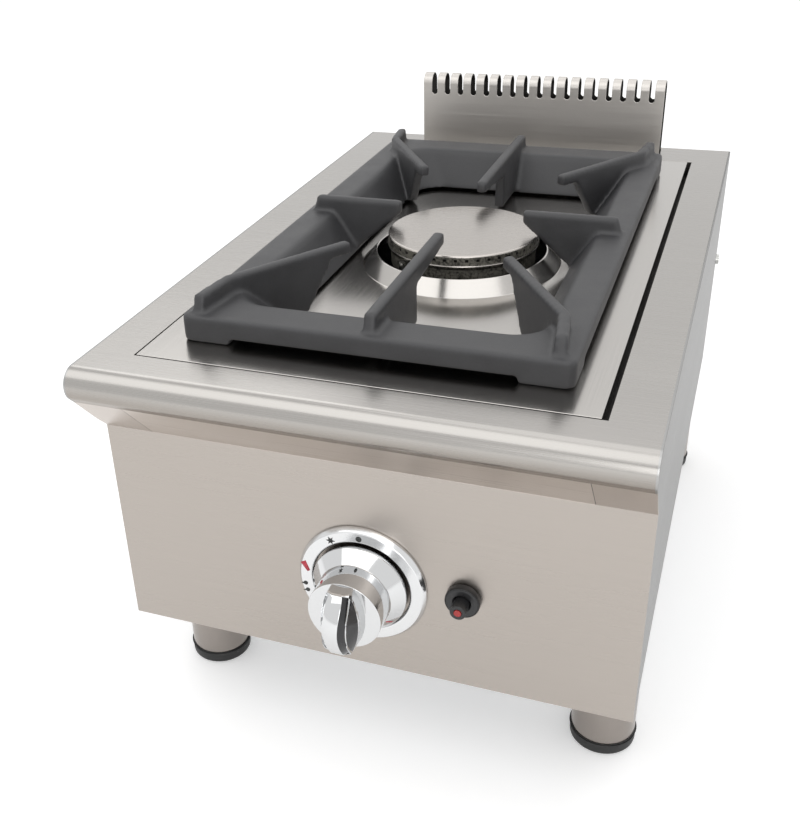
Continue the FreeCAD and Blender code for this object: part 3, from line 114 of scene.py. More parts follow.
class Graph:
    """A material's nodes, made and linked one after the other."""

    MIX_FIRST: ClassVar[int] = 6
    MIX_SECOND: ClassVar[int] = 7
    MIX_RESULT: ClassVar[int] = 2

    def __init__(self, name: str) -> None:
        """Start a material that holds only its output and a main shader.

        Args:
            name: the material's name.
        """
        self.material = bpy.data.materials.new(name)
        self.material.use_nodes = True
        self.tree = self.material.node_tree
        self.tree.nodes.clear()
        output = self.add("ShaderNodeOutputMaterial")
        self.shader = self.add("ShaderNodeBsdfPrincipled")
        self.link(self.shader, "BSDF", output, "Surface")

    def add(self, kind: str, **values: object) -> bpy.types.Node:
        """Add a node and set its attributes or inputs.

        Args:
            kind: Blender's name of the node.
            values: attributes of the node, or inputs by name with spaces written as underscores.

        Returns:
            The new node.
        """
        node = self.tree.nodes.new(kind)
        for key, value in values.items():
            if hasattr(node, key):
                setattr(node, key, value)
            else:
                node.inputs[key.replace("_", " ")].default_value = value
        return node

    def fix(self, **values: object) -> None:
        """Set the main shader's own sockets, named as for add."""
        for key, value in values.items():
            self.shader.inputs[key.replace("_", " ")].default_value = value

    def link(self, source: bpy.types.Node, output: str | int, target: bpy.types.Node, entry: str | int) -> None:
        """Join an output to an input."""
        self.tree.links.new(source.outputs[output], target.inputs[entry])

    def noise(self, scale: Triple, detail: float = 3.0, roughness: float = 0.55) -> bpy.types.Node:
        """Give a noise on object coordinates.

        Args:
            scale: cycles per metre along the three axes.
            detail: number of finer layers.
            roughness: weight of the finer layers.

        Returns:
            The noise node, whose first output is the value.
        """
        place = self.add("ShaderNodeTexCoord")
        mapping = self.add("ShaderNodeMapping", Scale=scale)
        texture = self.add("ShaderNodeTexNoise", Scale=1.0, Detail=detail, Roughness=roughness)
        self.link(place, "Object", mapping, "Vector")
        self.link(mapping, "Vector", texture, "Vector")
        return texture

    def spread(self, source: bpy.types.Node, low: float, high: float, start: float = 0.3,
               end: float = 0.7) -> bpy.types.Node:
        """Map a node's first output from one range to another.

        Args:
            source: node that gives the value.
            low: result at start.
            high: result at end.
            start: lowest value that counts.
            end: highest value that counts.

        Returns:
            The range node.
        """
        node = self.add("ShaderNodeMapRange", From_Min=start, From_Max=end, To_Min=low, To_Max=high)
        self.link(source, 0, node, "Value")
        return node

    def combine(self, operation: str, first: bpy.types.Node, second: bpy.types.Node) -> bpy.types.Node:
        """Combine the first outputs of two nodes.

        Args:
            operation: Blender's name of the operation.
            first: node that gives the first value.
            second: node that gives the second value.

        Returns:
            The node that holds the result.
        """
        node = self.add("ShaderNodeMath", operation=operation)
        self.link(first, 0, node, 0)
        self.link(second, 0, node, 1)
        return node

    def colour(self, factor: bpy.types.Node, first: Colour, second: Colour) -> None:
        """Colour the surface between two colours by a node's first output.

        Args:
            factor: node that gives the share of the second colour.
            first: colour where the share is 0.
            second: colour where the share is 1.
        """
        node = self.add("ShaderNodeMix", data_type="RGBA")
        node.inputs[self.MIX_FIRST].default_value = (*first, 1.0)
        node.inputs[self.MIX_SECOND].default_value = (*second, 1.0)
        self.link(factor, 0, node, 0)
        self.link(node, self.MIX_RESULT, self.shader, "Base Color")

    def painted_shade(self, tint: Colour, low: float, high: float) -> None:
        """Paint shade onto the coloured surface below a height, fading out towards a second one.

        Args:
            tint: colour that multiplies the surface's own.
            low: height up to which the tint is full.
            high: height at which it ends.
        """
        source = self.shader.inputs["Base Color"].links[0].from_socket
        axes = self.add("ShaderNodeSeparateXYZ")
        self.link(self.add("ShaderNodeTexCoord"), "Object", axes, 0)
        fade = self.add("ShaderNodeMapRange", From_Min=low, From_Max=high, To_Min=1.0, To_Max=0.0)
        self.link(axes, "Z", fade, "Value")
        node = self.add("ShaderNodeMix", data_type="RGBA", blend_type="MULTIPLY")
        node.inputs[self.MIX_SECOND].default_value = (*tint, 1.0)
        self.link(fade, 0, node, 0)
        self.tree.links.new(source, node.inputs[self.MIX_FIRST])
        self.link(node, self.MIX_RESULT, self.shader, "Base Color")

    def bump(self, source: bpy.types.Node, depth: float) -> None:
        """Let a value raise the surface.

        Args:
            source: node whose first output gives the height.
            depth: height in metres where that output is 1.
        """
        node = self.add("ShaderNodeBump", Strength=1.0, Distance=depth)
        self.link(source, 0, node, "Height")
        self.link(node, "Normal", self.shader, "Normal")


@dataclass(frozen=True)
class BrushedSteel:
    """Metal sheet with fine lines along its grain and faint broad clouds."""

    LINES: ClassVar[Pair] = (9.0, 2600.0)
    CLOUDS: ClassVar[Pair] = (2.0, 16.0)
    CLOUD_SHARE: ClassVar[float] = 0.08
    SMOOTHEST: ClassVar[float] = 0.85
    ROUGHEST: ClassVar[float] = 1.2

    name: str
    tone: Colour
    grain: Grain
    roughness: float = 0.3
    contrast: float = 0.025
    anisotropy: float = 0.35
    line_depth: float = 4e-6
    glancing: float = 1.0
    # The optional tint below darkens the sheet under a height: painted shade and darker reflection, not the steel's
    # own colour.
    painted_shade: Colour | None = None
    painted_shade_heights: Pair = (0.0, 0.0)

    def material(self) -> bpy.types.Material:
        """Make the finish.

        Returns:
            The material.
        """
        graph = Graph(self.name)
        lines = graph.noise(self.grain.scale(*self.LINES), detail=4.0, roughness=0.6)
        clouds = graph.noise(self.grain.scale(*self.CLOUDS))
        total = graph.combine("ADD", lines, graph.spread(clouds, -self.CLOUD_SHARE, self.CLOUD_SHARE))
        dark = tuple(part * (1 - self.contrast) for part in self.tone)
        light = tuple(min(part * (1 + self.contrast), 1.0) for part in self.tone)
        graph.colour(graph.spread(total, 0.0, 1.0), dark, light)
        if self.painted_shade:
            graph.painted_shade(self.painted_shade, *self.painted_shade_heights)
        rough = graph.spread(total, self.roughness * self.SMOOTHEST, self.roughness * self.ROUGHEST)
        graph.link(rough, 0, graph.shader, "Roughness")
        graph.fix(Metallic=1.0, Anisotropic=self.anisotropy, Specular_Tint=(*[self.glancing] * 3, 1.0))
        graph.bump(lines, self.line_depth)
        return graph.material


@dataclass(frozen=True)
class Casting:
    """Cast or enamelled metal with a fine uneven skin."""

    PATCHES: ClassVar[float] = 45.0
    SMOOTHER: ClassVar[float] = 0.05
    ROUGHER: ClassVar[float] = 0.07

    name: str
    tone: Colour
    light: Colour
    roughness: float = 0.45
    metallic: float = 0.0
    skin: float = 6e-5
    grit: float = 900.0
    speckle: float = 0.12

    def material(self) -> bpy.types.Material:
        """Make the finish.

        Returns:
            The material.
        """
        graph = Graph(self.name)
        grit = graph.noise((self.grit,) * 3, detail=4.0, roughness=0.6)
        patches = graph.noise((self.PATCHES,) * 3)
        total = graph.combine("ADD", graph.spread(grit, -self.speckle, self.speckle), patches)
        graph.colour(graph.spread(total, 0.0, 1.0), self.tone, self.light)
        rough = graph.spread(total, self.roughness - self.SMOOTHER, self.roughness + self.ROUGHER)
        graph.link(rough, 0, graph.shader, "Roughness")
        graph.fix(Metallic=self.metallic)
        graph.bump(grit, self.skin)
        return graph.material


@dataclass(frozen=True)
class Moulding:
    """Moulded plastic, rubber, paint or glazed ceramic with a faint texture."""

    LIGHTER: ClassVar[float] = 1.25
    DUST: ClassVar[float] = 0.004
    UNEVEN: ClassVar[float] = 0.06

    name: str
    tone: Colour
    roughness: float = 0.4
    grit: float = 1500.0
    skin: float = 1e-5

    def material(self) -> bpy.types.Material:
        """Make the finish.

        Returns:
            The material.
        """
        graph = Graph(self.name)
        grit = graph.noise((self.grit,) * 3, detail=2.0)
        light = tuple(part * self.LIGHTER + self.DUST for part in self.tone)
        graph.colour(graph.spread(grit, 0.0, 1.0), self.tone, light)
        rough = graph.spread(grit, self.roughness - self.UNEVEN, self.roughness + self.UNEVEN)
        graph.link(rough, 0, graph.shader, "Roughness")
        graph.bump(grit, self.skin)
        return graph.material


class Finishes:
    """Every finish of the range, made once and shared by its pieces."""

    def __init__(self) -> None:
        """Make the materials."""
        self.panel = BrushedSteel("panel_steel", (0.412, 0.376, 0.344), Grain.ACROSS).material()
        self.side = BrushedSteel("side_steel", (0.383, 0.381, 0.376), Grain.ALONG, glancing=0.6).material()
        # The apron faces down and forward; its tone, lighter than the panel's, is painted light. The tabs' tone is
        # partly their own steel and partly the same painted light.
        self.apron = BrushedSteel("apron_steel", (0.6, 0.545, 0.498), Grain.ACROSS).material()
        self.tab = BrushedSteel("tab_steel", (0.525, 0.473, 0.431), Grain.ALONG).material()
        # The deck's nose is painted darker and browner towards its lower edge: painted shade and reflection.
        self.deck = BrushedSteel("deck_steel", (0.4, 0.385, 0.366), Grain.ACROSS, roughness=0.25,
                                 painted_shade=(0.6, 0.52, 0.45), painted_shade_heights=(0.233, 0.246)).material()
        self.flue = BrushedSteel("flue_steel", (0.54, 0.516, 0.488), Grain.ACROSS, roughness=0.42,
                                 contrast=0.03).material()
        self.tray = BrushedSteel("tray_steel", (0.48, 0.462, 0.44), Grain.ALONG, roughness=0.19).material()
        self.cap = BrushedSteel("cap_steel", (0.45, 0.423, 0.397), Grain.ACROSS, roughness=0.26, contrast=0.01,
                                line_depth=5e-7).material()
        self.leg = BrushedSteel("leg_steel", (0.31, 0.28, 0.257), Grain.UPRIGHT, roughness=0.22,
                                contrast=0.03).material()
        self.zinc = BrushedSteel("zinc_sheet", (0.45, 0.46, 0.47), Grain.ACROSS, roughness=0.42, contrast=0.12,
                                 anisotropy=0.0).material()
        self.plated = BrushedSteel("plated_steel", (0.6, 0.6, 0.58), Grain.UPRIGHT, roughness=0.25, contrast=0.08,
                                   anisotropy=0.0).material()
        self.tube = BrushedSteel("drawn_tube", (0.62, 0.62, 0.62), Grain.ALONG, contrast=0.08,
                                 anisotropy=0.0).material()
        self.chrome = BrushedSteel("chrome", (0.64, 0.645, 0.65), Grain.ACROSS, roughness=0.05, contrast=0.01,
                                   anisotropy=0.0, line_depth=0.0).material()
        self.bezel = BrushedSteel("satin_chrome", (0.69, 0.695, 0.7), Grain.ACROSS, roughness=0.16, contrast=0.01,
                                  anisotropy=0.0, line_depth=0.0).material()
        self.enamel = Casting("iron_enamel", (0.034, 0.034, 0.036), (0.045, 0.045, 0.0475), roughness=0.5).material()
        self.burner = Casting("cast_burner", (0.03, 0.028, 0.024), (0.15, 0.142, 0.12), metallic=0.35, skin=4e-4,
                              grit=600.0, speckle=0.4).material()
        # A near-black finish used as painted shade: in the slot round the tray, in the front panel's seams, inside the
        # flue and in the burner ports.
        self.painted_dark = Casting("painted_dark_steel", (0.012, 0.011, 0.01), (0.03, 0.027, 0.024), roughness=0.6,
                            metallic=0.3).material()
        self.brass = Casting("turned_brass", (0.6, 0.43, 0.18), (0.7, 0.52, 0.25), roughness=0.3, metallic=1.0,
                             skin=1e-5).material()
        self.inlay = Moulding("grip_inlay", (0.016, 0.016, 0.018), roughness=0.14).material()
        self.black = Moulding("black_plastic", (0.012, 0.012, 0.013), roughness=0.32).material()
        self.red = Moulding("red_plastic", (0.32, 0.02, 0.018), roughness=0.25).material()
        self.red_paint = Moulding("red_paint", (0.42, 0.03, 0.05)).material()
        self.black_paint = Moulding("black_paint", (0.015, 0.017, 0.016)).material()
        self.ceramic = Moulding("glazed_ceramic", (0.75, 0.74, 0.7), roughness=0.2).material()
        self.sleeve = Moulding("lead_sleeve", (0.1, 0.1, 0.1), roughness=0.5).material()
        self.rubber = Moulding("black_rubber", (0.014, 0.014, 0.014), roughness=0.55, grit=700.0,
                               skin=3e-5).material()


def dress(material: bpy.types.Material, *nodes: str) -> None:
    """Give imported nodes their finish.

    Args:
        material: the finish.
        nodes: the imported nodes' names.
    """
    for node in nodes:
        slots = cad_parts[node].data.materials
        slots.clear()
        slots.append(material)
        log.info("%s dressed with %s", node, material.name)


def middle(node: str) -> Vector:
    """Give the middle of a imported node's box."""
    low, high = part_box(node)
    return (Vector(low) + Vector(high)) / 2


def polar(distance: float, degrees: float) -> Vector:
    """Give a point by its distance and its angle, anticlockwise from the right."""
    angle = math.radians(degrees)
    return Vector((distance * math.cos(angle), distance * math.sin(angle), 0.0))


def packed(node: str) -> bmesh.types.BMesh:
    """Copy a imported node's mesh and merge its loose triangles.

    Args:
        node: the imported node's name.

    Returns:
        The merged copy.
    """
    bm = bmesh.new()
    bm.from_mesh(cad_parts[node].data)
    bmesh.ops.remove_doubles(bm, verts=bm.verts, dist=MERGE)
    return bm


def flattened(bm: bmesh.types.BMesh) -> bmesh.types.BMesh:
    """Join the triangles of a mesh's flat faces."""
    bmesh.ops.dissolve_limit(bm, angle_limit=FLAT, verts=bm.verts, edges=bm.edges)
    return bm


def turned(points: list[Triple], centre: Triple, axis: Triple, steps: int) -> bmesh.types.BMesh:
    """Turn a half section into a closed round piece.

    Args:
        points: the section's points in order, with the ends on the axis.
        centre: a point on the axis.
        axis: direction of the axis.
        steps: faces round the piece.

    Returns:
        The mesh, with its faces pointing outwards.
    """
    bm = bmesh.new()
    line = [bm.verts.new(point) for point in points]
    edges = [bm.edges.new(pair) for pair in zip(line, line[1:])]
    bmesh.ops.spin(bm, geom=line + edges, cent=centre, axis=axis, angle=math.tau, steps=steps, use_merge=True)
    bmesh.ops.remove_doubles(bm, verts=bm.verts, dist=MERGE)
    bmesh.ops.recalc_face_normals(bm, faces=bm.faces)
    return bm


def cut(bm: bmesh.types.BMesh, place: Triple, normal: Triple, clear: bool = False) -> None:
    """Cut a mesh along a plane.

    Args:
        bm: the mesh.
        place: a point on the plane.
        normal: direction that the plane faces.
        clear: whether what lies in front of the plane is taken away.
    """
    bmesh.ops.bisect_plane(bm, geom=bm.verts[:] + bm.edges[:] + bm.faces[:], dist=CUT, plane_co=place,
                           plane_no=normal, clear_outer=clear)


def round_edges(bm: bmesh.types.BMesh, width: float, segments: int = 2, least: float = 25.0,
                seam: FaceTest | None = None) -> None:
    """Round every edge that is sharper than an angle.

    Args:
        bm: the mesh.
        width: width of the rounding on each side of an edge.
        segments: faces across the rounding.
        least: smallest angle between the faces, in degrees.
        seam: tells the faces that close against another sheet, whose edges stay sharp.
    """
    sharp = []
    for edge in bm.edges:
        if not edge.is_manifold or edge.calc_face_angle(0.0) < math.radians(least):
            continue
        if seam is None or not any(seam(face) for face in edge.link_faces):
            sharp.append(edge)
        else:
            edge.smooth = False
    bmesh.ops.bevel(bm, geom=sharp, offset=width, affect="EDGES", segments=segments, profile=0.5, material=-1,
                    clamp_overlap=False, loop_slide=True)
    bmesh.ops.remove_doubles(bm, verts=bm.verts, dist=MERGE)


def make_piece(name: str, bm: bmesh.types.BMesh, body: Body, materials: Materials, nodes: tuple[str, ...] = (),
               weighted: bool = True) -> bpy.types.Object:
    """Make a mesh an object of the range.

    Args:
        name: the piece's name.
        bm: its mesh, which is used up.
        body: the body that it moves with.
        materials: its finishes, by the index of its faces.
        nodes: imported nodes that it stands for.
        weighted: whether flat faces keep their flat shading beside rounded edges.

    Returns:
        The object.
    """
    for face in bm.faces:
        face.smooth = True
    mesh = bpy.data.meshes.new(name)
    bm.to_mesh(mesh)
    bm.free()
    for material in materials:
        mesh.materials.append(material)
    item = bpy.data.objects.new(name, mesh)
    bpy.context.scene.collection.objects.link(item)
    if weighted:
        item.modifiers.new("flat_faces", "WEIGHTED_NORMAL").keep_sharp = True
    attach(item, body.value)
    if nodes:
        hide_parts(*nodes)
    log.info("%s made on %s", name, body.value)
    return item


@dataclass
class Casing:
    """Folded sheets of the body, its legs and its feet."""

    finishes: Finishes
    sheet_edge: float = 0.35 * MM
    seam: float = 0.3 * MM
    slot_side: float = 8.0 * MM
    slot_end: float = 4.0 * MM
    slot_depth: float = 0.5 * MM
    corner_start: float = 120.0 * MM
    corner_margin: float = 1.0 * MM
    corner_depth: float = 30.0 * MM
    end_gap: float = 0.05 * MM
    apron_top: float = 1.2 * MM
    apron_shift: Vector = field(default_factory=lambda: Vector((0.0, 1.36, 0.76)) * MM)
    apron_cosine: float = 0.8
    end_cosine: float = 0.5
    tab_start: float = 120.8 * MM
    tab_gap: float = 0.3 * MM
    tab_tilt: float = 0.3
    foot_edge: float = 2.5 * MM
    foot_segments: int = 4
    foot_angle: float = 60.0

    def deck(self) -> None:
        """Close the deck's seams, round its other edges and paint shade into the slot round the tray."""
        _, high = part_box("deck_top")
        tray_low, tray_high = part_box("spill_tray")
        slope = Vector((0.0, 1.0, -1.0)).normalized()

        def closes(face: bmesh.types.BMFace) -> bool:
            """Tell whether a face closes against a side panel or the apron."""
            at_side = abs(face.normal.x) > SQUARE and abs(face.calc_center_median().x) > high[0] - self.seam
            return at_side or face.normal.dot(slope) > SQUARE

        bm = flattened(packed("deck_top"))
        round_edges(bm, self.sheet_edge, seam=closes)
        lip = {vert for face in bm.faces
               if face.normal.dot(slope) > SQUARE and face.calc_center_median().y < tray_low[1]
               for vert in face.verts}
        bmesh.ops.translate(bm, verts=list(lip), vec=slope * self.seam)
        for vert in bm.verts:
            if abs(vert.co.x) > high[0] - self.seam / 2:
                vert.co.x += math.copysign(self.seam, vert.co.x)
        # Faces low in the opening round the tray take the near-black finish: painted shade in the slot.
        for face in bm.faces:
            place = face.calc_center_median()
            inside = (abs(place.x) < tray_high[0] + self.slot_side
                      and tray_low[1] - self.slot_end < place.y < tray_high[1] + self.slot_end)
            face.material_index = 1 if inside and place.z < high[2] - self.slot_depth else 0
        make_piece("deck_top_sheet", bm, Body.CHASSIS, [self.finishes.deck, self.finishes.painted_dark], ("deck_top",))

    def front(self) -> None:
        """Close the apron's cut corners and round the front panel's free edges."""
        slope = Vector((0.0, -1.0, 1.0)).normalized()
        low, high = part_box("front_panel")

        def closes(face: bmesh.types.BMFace) -> bool:
            """Tell whether a face closes against the deck or a side panel."""
            return face.normal.dot(slope) > self.apron_cosine or abs(face.normal.x) > self.end_cosine

        bm = flattened(packed("front_panel"))
        for vert in bm.verts:
            at_corner = self.corner_start < abs(vert.co.x) < high[0] - self.corner_margin
            if at_corner and vert.co.y < low[1] + self.corner_depth:
                vert.co.x = math.copysign(high[0] - self.end_gap, vert.co.x)
            if vert.co.z > high[2] - self.apron_top:
                vert.co += self.apron_shift
        bmesh.ops.remove_doubles(bm, verts=bm.verts, dist=MERGE)
        round_edges(bm, self.sheet_edge, seam=closes)
        self.mark_tabs(bm)
        make_piece("front_panel_sheet", bm, Body.CHASSIS,
                   [self.finishes.panel, self.finishes.apron, self.finishes.tab, self.finishes.painted_dark], ("front_panel",))

    def mark_tabs(self, bm: bmesh.types.BMesh) -> None:
        """Show the apron and the side panels' welded tabs at its ends, each behind a fine seam painted dark as shade.

        Args:
            bm: the front panel's mesh.
        """
        for place in (self.tab_start, self.tab_start + self.tab_gap):
            for sign in (-1.0, 1.0):
                cut(bm, (sign * place, 0.0, 0.0), (sign, 0.0, 0.0))
        # The apron's and the tabs' lighter tones are painted light, and the strip between them is painted shade in the
        # seam.
        for face in bm.faces:
            if face.normal.z > -self.tab_tilt or face.normal.y > -self.tab_tilt:
                continue
            out = abs(face.calc_center_median().x) - self.tab_start
            if out < 0:
                face.material_index = PanelArea.APRON.value
            else:
                face.material_index = PanelArea.SEAM.value if out < self.tab_gap else PanelArea.TAB.value

    def sides(self) -> None:
        """Round the side panels where they don't close against the deck."""
        for hand, sign in (("left", 1.0), ("right", -1.0)):
            bm = flattened(packed(f"{hand}_side_panel"))
            round_edges(bm, self.sheet_edge, seam=lambda face, inward=sign: face.normal.x * inward > FACING)
            make_piece(f"{hand}_side_panel_sheet", bm, Body.CHASSIS, [self.finishes.side], (f"{hand}_side_panel",))

    def feet(self) -> None:
        """Round the feet and dress the legs."""
        for end in ("front", "rear"):
            for hand in ("left", "right"):
                dress(self.finishes.leg, f"leg_{end}_{hand}")
                bm = flattened(packed(f"foot_{end}_{hand}"))
                round_edges(bm, self.foot_edge, self.foot_segments, self.foot_angle)
                make_piece(f"foot_{end}_{hand}_tread", bm, Body.CHASSIS, [self.finishes.rubber],
                           (f"foot_{end}_{hand}",))

    def build(self) -> None:
        """Make the sheets and dress the rest."""
        self.deck()
        self.front()
        self.sides()
        self.feet()
        dress(self.finishes.zinc, "back_panel", "base_pan")
        dress(self.finishes.plated, "leg_nuts", "rear_screws")


@dataclass
class Flue:
    """Slotted riser at the back of the deck."""

    finishes: Finishes
    edge: float = 0.3 * MM
    edge_angle: float = 40.0

    def build(self) -> None:
        """Round the riser's slot and sheet edges and paint shade on its inside."""
        low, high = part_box("flue_riser")
        half = (high[1] - low[1]) / 2
        bm = flattened(packed("flue_riser"))
        round_edges(bm, self.edge, least=self.edge_angle)
        # Faces that look inwards take the near-black finish: painted shade inside the riser.
        for face in bm.faces:
            place = face.calc_center_median()
            core = Vector((place.x, low[1] + half, min(place.z, high[2] - half)))
            face.material_index = 1 if face.normal.dot(place - core) < 0 else 0
        make_piece("flue_riser_sheet", bm, Body.CHASSIS, [self.finishes.flue, self.finishes.painted_dark], ("flue_riser",))


@dataclass
class SpillTray:
    """Pressed tray with the raised collar round the burner."""

    finishes: Finishes
    edge: float = 0.3 * MM
    edge_segments: int = 3
    edge_angle: float = 20.0

    def build(self) -> None:
        """Round the tray's folds."""
        bm = flattened(packed("spill_tray"))
        round_edges(bm, self.edge, self.edge_segments, self.edge_angle)
        make_piece("spill_tray_pressing", bm, Body.TRAY, [self.finishes.tray], ("spill_tray",))


@dataclass
class PanSupport:
    """Cast pan support with soft edges and filleted finger roots."""

    finishes: Finishes
    voxel: float = 1.4 * MM
    softness: float = 0.5
    soft_passes: int = 4

    def build(self) -> None:
        """Melt the sharp solid into a casting."""
        piece = make_piece("grate_casting", packed("grate"), Body.PAN_SUPPORT, [self.finishes.enamel], ("grate",),
                           weighted=False)
        skin = piece.modifiers.new("cast_skin", "REMESH")
        skin.mode = "VOXEL"
        skin.voxel_size = self.voxel
        skin.use_smooth_shade = True
        soft = piece.modifiers.new("soft_edges", "SMOOTH")
        soft.factor = self.softness
        soft.iterations = self.soft_passes


@dataclass
class Burner:
    """Cap with its ports, the cast ring and the parts below it."""

    finishes: Finishes
    ports: int = 44
    port_faces: int = 3
    edge_height: float = 9.0 * MM
    rim: float = 4.5 * MM
    plate: float = 3.5 * MM
    crown_reach: float = 0.6
    crown_share: float = 0.64
    shoulder: tuple[Pair, ...] = ((1.2 * MM, 0.0), (0.4 * MM, 0.25 * MM), (0.0, 1.0 * MM))
    band_low: float = 2.6 * MM
    line: tuple[Pair, ...] = ((0.5 * MM, 0.25 * MM), (0.5 * MM, 0.9 * MM), (-0.2 * MM, 1.2 * MM))
    line_height: float = 1.1 * MM
    side_depth: float = 0.5 * MM
    side_drop: float = 0.9 * MM
    port_low: float = 4.8 * MM
    port_high: float = 6.8 * MM
    port_margin: float = 0.05 * MM
    port_chamfer: float = 0.2 * MM
    port_taper: float = 0.02 * MM
    port_depth: float = 2.5 * MM
    ring_edge: float = 0.4 * MM
    ring_angle: float = 40.0

    def profile(self) -> list[Pair]:
        """Draw the cap's half section.

        Returns:
            The section's points, as radius and height above the cap's lower edge.
        """
        low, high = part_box("burner_cap")
        radius = (high[0] - low[0]) / 2
        crown = high[2] - low[2]
        top = self.edge_height
        bend = crown * self.crown_share + top * (1 - self.crown_share)
        section = [(0.0, crown), (radius * self.crown_reach, bend)]
        section += [(radius - inset, top - drop) for inset, drop in self.shoulder]
        section += [(radius, height) for height in (self.port_high, self.port_low, self.band_low)]
        section += [(radius + out, self.band_low - drop) for out, drop in self.line]
        section += [(radius + self.line[-1][0], 0.0), (radius - self.rim, 0.0)]
        section += [(radius - self.rim, top - self.plate), (0.0, crown - self.plate)]
        return section

    def cap(self) -> None:
        """Turn the cap and sink its row of ports."""
        low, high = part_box("burner_cap")
        radius = (high[0] - low[0]) / 2
        section = [(out, 0.0, height) for out, height in self.profile()]
        bm = turned(section, (0.0, 0.0, 0.0), (0.0, 0.0, 1.0), self.port_faces * self.ports)
        for face in bm.faces:
            place = face.calc_center_median()
            outer = place.xy.length > radius - self.side_depth and place.z < self.edge_height - self.side_drop
            bright = self.band_low - self.line_height < place.z < self.band_low
            face.material_index = CapArea.SIDE.value if outer and not bright else CapArea.PLATE.value
        self.sink_ports(bm)
        bmesh.ops.translate(bm, verts=bm.verts, vec=((low[0] + high[0]) / 2, (low[1] + high[1]) / 2, low[2]))
        make_piece("burner_cap_turned", bm, Body.CAP, [self.finishes.cap, self.finishes.burner, self.finishes.painted_dark],
                   ("burner_cap",))

    def sink_ports(self, bm: bmesh.types.BMesh) -> None:
        """Sink the ports into the cap's side, one into every few of its faces, and paint shade inside them.

        Args:
            bm: the cap's mesh, with its axis on the origin.
        """
        step = math.tau / (self.port_faces * self.ports)
        row = []
        for face in bm.faces:
            place = face.calc_center_median()
            number = round(math.atan2(place.y, place.x) / step - 0.5)
            outward = face.normal.xy.dot(place.xy.normalized()) > FACING
            if outward and self.port_low < place.z < self.port_high and number % self.port_faces == 0:
                row.append(face)
        bmesh.ops.inset_individual(bm, faces=row, thickness=self.port_margin)
        bmesh.ops.inset_individual(bm, faces=row, thickness=self.port_chamfer, depth=-self.port_chamfer)
        walls = bmesh.ops.inset_individual(bm, faces=row, thickness=self.port_taper, depth=-self.port_depth)["faces"]
        # The ports' walls and floors take the near-black finish: painted shade inside the holes.
        for face in row + walls:
            face.material_index = CapArea.PORT.value

    def ring(self) -> None:
        """Round the cast ring."""
        bm = flattened(packed("burner_ring"))
        round_edges(bm, self.ring_edge, least=self.ring_angle)
        make_piece("burner_ring_casting", bm, Body.CHASSIS, [self.finishes.burner], ("burner_ring",))

    def build(self) -> None:
        """Make the burner's pieces and dress the rest."""
        self.cap()
        self.ring()
        dress(self.finishes.burner, "burner_cup", "mixing_tube")
        dress(self.finishes.brass, "injector", "injector_holder")
        dress(self.finishes.zinc, "burner_stand", "thermocouple_clip", "electrode_clip")
        dress(self.finishes.plated, "thermocouple", "electrode_pin")
        dress(self.finishes.ceramic, "electrode_ceramic")


@dataclass(frozen=True)
class Spot:
    """Round mark on the dial, placed by its distance and angle from the dial's axis."""

    radius: float
    distance: float
    degrees: float
    sides: int

    def draw(self, bm: bmesh.types.BMesh, turn: float = 0.0) -> list[bmesh.types.BMVert]:
        """Draw the mark flat about the origin.

        Args:
            bm: mesh that takes the mark.
            turn: the mark's own turn in degrees.

        Returns:
            The vertices round it.
        """
        place = Matrix.Translation(polar(self.distance, self.degrees))
        place = place @ Matrix.Rotation(math.radians(turn), 4, "Z")
        return bmesh.ops.create_circle(bm, cap_ends=True, segments=self.sides, radius=self.radius,
                                       matrix=place)["verts"]


